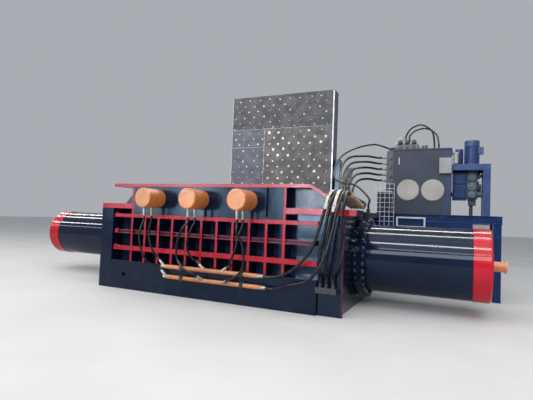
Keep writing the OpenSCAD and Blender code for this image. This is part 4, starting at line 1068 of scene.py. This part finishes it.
@dataclass
class Lid:
    """Open chamber lid: its plates, rows of plug welds and seam welds. Metres, shop coordinates.

    The margins of the plug welds are those of a row, of all rows and of the last plug of a row. A plug
    weld's profile is rows of radius share and rise. Its radius depends on the plate: lower right,
    lower left, upper. Its scatter is the spread of X and Z, and the least and most share of the radius.
    """

    left: float = 0.53
    right: float = 3.23
    face: float = 2.92
    bottom: float = 2.0
    top: float = 4.575
    pitch_x: float = 0.272
    pitch_z: float = 0.140
    first_plug: Pair = (0.08, 0.09)
    plug_margins: Point = (0.1, 0.12, 0.05)
    plug_profile: tuple[Pair, ...] = ((1.0, -0.002), (0.93, 0.0012), (0.72, 0.0034), (0.4, 0.0044), (0.08, 0.004))
    plug_radii: Point = (0.033, 0.026, 0.022)
    plug_scatter: tuple[float, ...] = (0.016, 0.010, 0.42, 1.15)
    plug_seed: int = 41
    seams: tuple[tuple[Pair, Pair], ...] = (
        ((SEAM_X, 2.02), (SEAM_X, SEAM_Z)), ((0.56, SEAM_Z), (3.21, SEAM_Z)), ((0.56, 3.28), (SEAM_X, 3.28)))
    seam_seed: int = 60
    bead_points: int = 90
    bead_wander: float = 0.0045
    bead_radius: Pair = (0.0026, 0.0048)
    bead_rise: float = 0.0015
    strip_x: tuple[Pair, Pair] = ((-0.034, -0.001), (0.001, 0.010))
    strip_y: Pair = (-0.004, 0.002)
    strip_z: Pair = (0.01, -0.012)
    strip_edge: float = 0.0015
    plate: LidSteel = LidSteel("lid_plate", "liner_steel", light=(0.086, 0.077, 0.077), dark=(0.062, 0.056, 0.056),
                               rust=0.10, rough=0.55, metallic=0.15, grain=(14.0, 1.0, 5.0))
    bead: LidSteel = LidSteel("weld_metal", "liner_steel", light=(0.62, 0.60, 0.58), dark=(0.34, 0.33, 0.33), rust=0.1,
                              rough=0.36, metallic=0.35, left_tone=(0.30, 0.31, 0.35), upper_tone=(0.34, 0.34, 0.35),
                              grain=(1.0, 1.0, 12.0))
    ground: Steel = Steel("ground_edge", "liner_steel", light=(0.46, 0.47, 0.50), dark=(0.26, 0.27, 0.30), rust=0.05,
                          rough=0.3, metallic=0.4, grain=(1.0, 1.0, 12.0))

    def plug(self, x: float, z: float, r: float, phase: float) -> Shape:
        """Low uneven dome: radius r (1 + 0.14 sin(3 angle + phase) + 0.08 sin(5 angle - phase)) times its profile."""
        share, rise = np.array(self.plug_profile).T[:, :, None]
        ang = np.linspace(0, 2 * np.pi, 12, endpoint=False)
        rr = r * share * (1 + 0.14 * np.sin(3 * ang + phase) + 0.08 * np.sin(5 * ang - phase))[None]
        pts = np.stack([x + rr * np.cos(ang), np.broadcast_to(self.face - rise, rr.shape), z + rr * np.sin(ang)], -1)
        return capped(place(pts))

    def plugs(self) -> None:
        """Staggered rows of uneven plug welds over the whole pressing face."""
        rng = np.random.default_rng(self.plug_seed)
        spread_x, spread_z, least, most = self.plug_scatter
        row_margin, rows_margin, last_margin = self.plug_margins
        lower_right, lower_left, upper = self.plug_radii
        parts = []
        for i in range(int((self.top - self.bottom - rows_margin) / self.pitch_z) + 1):
            z = self.bottom + self.first_plug[1] + i * self.pitch_z
            for k in range(int((self.right - self.left - row_margin) / self.pitch_x) + 1):
                x = self.left + self.first_plug[0] + (k + 0.5 * (i % 2)) * self.pitch_x
                if x > self.right - last_margin:
                    continue
                radius = upper if z >= SEAM_Z else lower_right if x > SEAM_X else lower_left
                jx, jz = rng.normal(0, spread_x), rng.normal(0, spread_z)
                share, phase = rng.uniform(least, most), rng.uniform(0, 6)
                parts.append(self.plug(x + jx, z + jz, radius * share, phase))
        piece("lid_plug_welds", joined(parts), self.bead, body="lid")

    def bead_line(self, a: Pair, b: Pair, seed: int) -> Shape:
        """One seam weld: a half sunk tube from a to b whose line and radius wander.

        Args:
            a: start, X and Z.
            b: end, X and Z.
            seed: start of the random numbers.
        Returns:
            Points and faces.
        """
        rng = np.random.default_rng(seed)
        n = self.bead_points
        t = np.linspace(0, 1, n)[:, None]
        line = np.array([a]) * (1 - t) + np.array([b]) * t + rng.normal(0, self.bead_wander, (n, 2))
        path = np.column_stack([line[:, 0], np.full(n, self.face + self.bead_rise), line[:, 1]])
        return tube(place(path), self.bead_radius[0] + self.bead_radius[1] * rng.random(n), 8)

    def trim(self) -> None:
        """Seam welds between the wear plates and the ground strips along the left and right edges."""
        beads = joined(self.bead_line(a, b, self.seam_seed + k) for k, (a, b) in enumerate(self.seams))
        piece("lid_seam_welds", beads, self.bead, body="lid")
        y, z = np.add(self.face, self.strip_y), np.add((self.bottom, self.top), self.strip_z)
        for name, side, reach in zip(("lid_edge_strip", "lid_left_strip"), (self.right, self.left), self.strip_x):
            x = np.add(side, reach)
            box_piece(name, self.ground, self.strip_edge, tuple(zip(x, y, z)), body="lid")

    def build(self) -> None:
        """Dresses the lid's solids and adds the welds."""
        dress((self.plate, "lid_liner"), (BODY_NAVY, "lid_frame lid_lugs lid_cylinders"),
              (ROD, "lid_rod_left lid_rod_right"))
        self.plugs()
        self.trim()


@dataclass
class Cylinders:
    """Main cylinders, lock cylinders and rams."""

    orange: Paint = Paint("orange_satin", "orange_paint", (0.62, 0.205, 0.055), rough=0.30, dust=0.05, dirt=0.12,
                          sheen=IVORY, ior=1.5, chips=0.3, bare=(0.5, 0.4, 0.35))
    pipes: Paint = Paint("pipe_paint", "orange_paint", (0.58, 0.215, 0.075), rough=0.32, dust=0.3, dirt=0.6,
                         sheen=WHITE)
    ports: Paint = Paint("port_paint", "orange_paint", (0.72, 0.245, 0.095), rough=0.3, dust=0.15, sheen=IVORY, ior=1.5,
                         zones=(Zone((3.8, -0.2, 0.0), (4.3, 0.2, 1.0), (0.020, 0.023, 0.032)),
                                Zone((4.2, 1.0, 1.4), (4.5, 2.1, 2.4), (0.02, 0.02, 0.022))))

    def build(self) -> None:
        """Gives the cylinders their finishes."""
        dress((BARREL_NAVY, "barrels"), (CAP_RED, "end_caps"), (GLAND, "rod_glands"), (ZINC, "hose_fittings"),
              (BOLT, "flange_bolts"), (self.orange, "lock_cylinders"), (self.pipes, "distribution_pipes"),
              (self.ports, "end_ports"), (LINER, "left_ram right_ram"),
              (ROD, "left_rod right_rod lock_pin_1 lock_pin_2 lock_pin_3"), (CLAMP, "pipe_clamps"),
              (GUARD, "hose_guard"))


FRONT: Point = (0.0, -1.0, 0.0)
RIGHT: Point = (1.0, 0.0, 0.0)
UP: Point = (0.0, 0.0, 1.0)


@dataclass
class PowerUnit:
    """Tank, valves, cooler, motors and pump, with the small bare forms on them. Metres, shop coordinates.

    Boxes are pairs of lowest and highest corners. Drums are centre, direction, radius and length.
    """

    deck: Paint = Paint("deck_blue", "body_paint", (0.0040, 0.0200, 0.1000), rough=0.24, dust=0.10)
    tank: Paint = Paint("tank_plum", "tank_paint", (0.031, 0.026, 0.043), rough=0.5, dust=0.15, dirt=0.3,
                        zones=(Zone((5.586, 3.0, 1.7), (5.75, 4.6, 3.2), (0.022, 0.032, 0.085)),))
    cream: Paint = Paint("cream_enamel", "cream_paint", (0.39, 0.375, 0.345), rough=0.35, dust=0.15, dirt=0.7,
                         sheen=WHITE, zones=(Zone((4.6, 3.1545, 1.9), (5.7, 3.3, 2.6), (0.020, 0.022, 0.030)),))
    beige: Paint = Paint("beige_box", "cream_paint", (0.325, 0.325, 0.335), rough=0.4, dust=0.2, dirt=0.4, sheen=WHITE)
    blue: Paint = Paint("motor_blue_paint", "motor_blue", (0.041, 0.076, 0.212), rough=0.26, dust=0.15)
    intake: Paint = Paint("intake_blue", "motor_blue", (0.009, 0.031, 0.130), rough=0.3, dust=0.15)
    cast: Paint = Paint("cast_grey", "pump_iron", (0.052, 0.062, 0.082), rough=0.5, dust=0.25, dirt=0.8, chips=0.9,
                        bare=(0.30, 0.30, 0.31), peel=0.35)
    covers: Paint = Paint("pump_cover_grey", "pump_iron", (0.120, 0.140, 0.175), rough=0.5, dust=0.2, dirt=0.8,
                          chips=0.9, bare=(0.34, 0.34, 0.35), peel=0.35)
    valve: Paint = Paint("valve_grey", "valve_steel", (0.125, 0.130, 0.135), rough=0.35, dirt=0.9, chips=0.9,
                         bare=(0.40, 0.40, 0.41), sheen=WHITE,
                         zones=(Zone((4.60, 3.30, 3.30), (5.10, 3.60, 3.44), (0.022, 0.026, 0.040)),))
    pilot: Paint = Paint("pilot_valve_grey", "valve_steel", (0.40, 0.40, 0.38), rough=0.35, dirt=0.9, sheen=WHITE)
    manifold: Paint = Paint("manifold_grey", "valve_steel", (0.045, 0.050, 0.062), rough=0.3, chips=0.9,
                            bare=(0.40, 0.40, 0.41), sheen=WHITE,
                            zones=(Zone((4.25, 3.0, 2.2), (4.402, 3.6, 3.2), (0.34, 0.34, 0.34)),))
    fins: Paint = Paint("cooler_black", "valve_steel", (0.010, 0.012, 0.018), rough=0.4)
    wire: Paint = Paint("light_wire_paint", "light_wire", (0.58, 0.60, 0.62), rough=0.4, dirt=0.2)
    plate_edge: float = 0.001
    box_edge: float = 0.004
    drum_edge: float = 0.08
    drum_sides: int = 32
    skirt: tuple[Box, ...] = (
        ((4.352, 3.124, 1.02), (6.17, 3.136, 1.5615)), ((6.13, 3.136, 1.02), (6.15, 3.20, 1.5615)))
    intake_boxes: tuple[Box, ...] = (
        ((5.765, 3.49, 2.065), (6.046, 3.75, 2.67)), ((5.795, 3.46, 2.105), (6.015, 3.491, 2.315)),
        ((5.795, 3.46, 2.415), (6.015, 3.491, 2.625)))
    pump_boxes: tuple[Box, ...] = (
        ((6.045, 3.47, 2.095), (6.245, 3.77, 2.665)), ((6.07, 3.50, 2.06), (6.22, 3.74, 2.096)),
        ((6.244, 3.51, 2.295), (6.29, 3.73, 2.445)))
    pump_drums: tuple[Drum, ...] = (
        ((6.145, 3.471, 2.555), FRONT, 0.084, 0.046), ((6.145, 3.471, 2.365), FRONT, 0.092, 0.039),
        ((6.145, 3.471, 2.185), FRONT, 0.074, 0.056), ((6.145, 3.433, 2.555), FRONT, 0.034, 0.035),
        ((6.145, 3.433, 2.365), FRONT, 0.034, 0.035), ((6.145, 3.433, 2.185), FRONT, 0.034, 0.035),
        ((6.244, 3.62, 2.595), RIGHT, 0.066, 0.061), ((6.304, 3.62, 2.595), RIGHT, 0.038, 0.041),
        ((6.289, 3.58, 2.37), RIGHT, 0.046, 0.041), ((6.244, 3.59, 2.195), RIGHT, 0.062, 0.111),
        ((6.354, 3.59, 2.195), RIGHT, 0.036, 0.036))
    valve_boxes: tuple[Box, ...] = (
        ((4.62, 3.50, 3.389), (4.68, 3.59, 3.432)), ((4.77, 3.50, 3.389), (4.83, 3.59, 3.432)),
        ((4.92, 3.50, 3.389), (4.98, 3.59, 3.432)), ((5.049, 3.47, 3.16), (5.095, 3.67, 3.25)))
    valve_drums: tuple[Drum, ...] = (
        ((4.67, 3.421, 3.24), FRONT, 0.040, 0.036), ((4.81, 3.421, 3.24), FRONT, 0.034, 0.046),
        ((4.95, 3.421, 3.24), FRONT, 0.040, 0.036), ((4.475, 3.29, 3.128), UP, 0.038, 0.052),
        ((4.475, 3.29, 3.179), UP, 0.054, 0.039))
    pilot_at: Point = (4.551, 3.66, 3.3225)
    pilot_way: Point = (0.5, 0.0, 0.866)
    pilot_size: Pair = (0.067, 0.23)
    pilot_edge: float = 0.003

    def drum(self, centre: Point, axis: Point, radius: float, length: float) -> Shape:
        """Round boss with a broken far edge.

        Args:
            centre: middle of its first face, shop coordinates.
            axis: direction of its length.
            radius: outer radius.
            length: length.
        Returns:
            Points and faces.
        """
        soft = self.drum_edge * radius
        profile = ((radius, 0.0), (radius, length - soft), (radius - soft, length))
        return turned(profile, place(centre), axis, self.drum_sides)

    def build(self) -> None:
        """Finishes of the solids, the skirt under the deck and the bare forms of pump and valves."""
        dress((self.tank, "oil_tank"), (self.deck, "unit_frame"), (self.cream, "tank_fittings"),
              (self.beige, "control_box"), (self.valve, "valve_bank"), (self.manifold, "valve_manifold"),
              (self.fins, "oil_cooler"), (self.wire, "cooler_guard"), (self.blue, "motors motor_stand"),
              (self.cast, "pump"))
        box_piece("deck_skirt", self.deck, self.plate_edge, *self.skirt)
        box_piece("pump_intake_housing", self.intake, self.box_edge, *self.intake_boxes)
        box_piece("pump_housing", self.cast, self.box_edge, *self.pump_boxes)
        piece("pump_round_covers", joined(self.drum(*row) for row in self.pump_drums), self.covers)
        box_piece("valve_caps", self.valve, self.box_edge, *self.valve_boxes)
        piece("valve_knobs", joined(self.drum(*row) for row in self.valve_drums), self.manifold)
        radius, length = self.pilot_size
        tilted = turned(((radius, 0.0), (radius, length)), place(self.pilot_at), self.pilot_way, 4, math.pi / 4)
        piece("pilot_block", tilted, self.pilot, smooth=False, bevel=self.pilot_edge)


def main() -> None:
    """Builds and dresses every sub-assembly in order."""
    logging.basicConfig(level=logging.INFO, format="%(name)s %(message)s")
    studio = Studio()
    studio.camera()
    Hoses().build()
    Sleeve().build()
    studio.light()
    studio.floor()
    for assembly in (PressBody(), Lid(), Cylinders(), PowerUnit()):
        assembly.build()


if __name__ == "__main__":
    main()
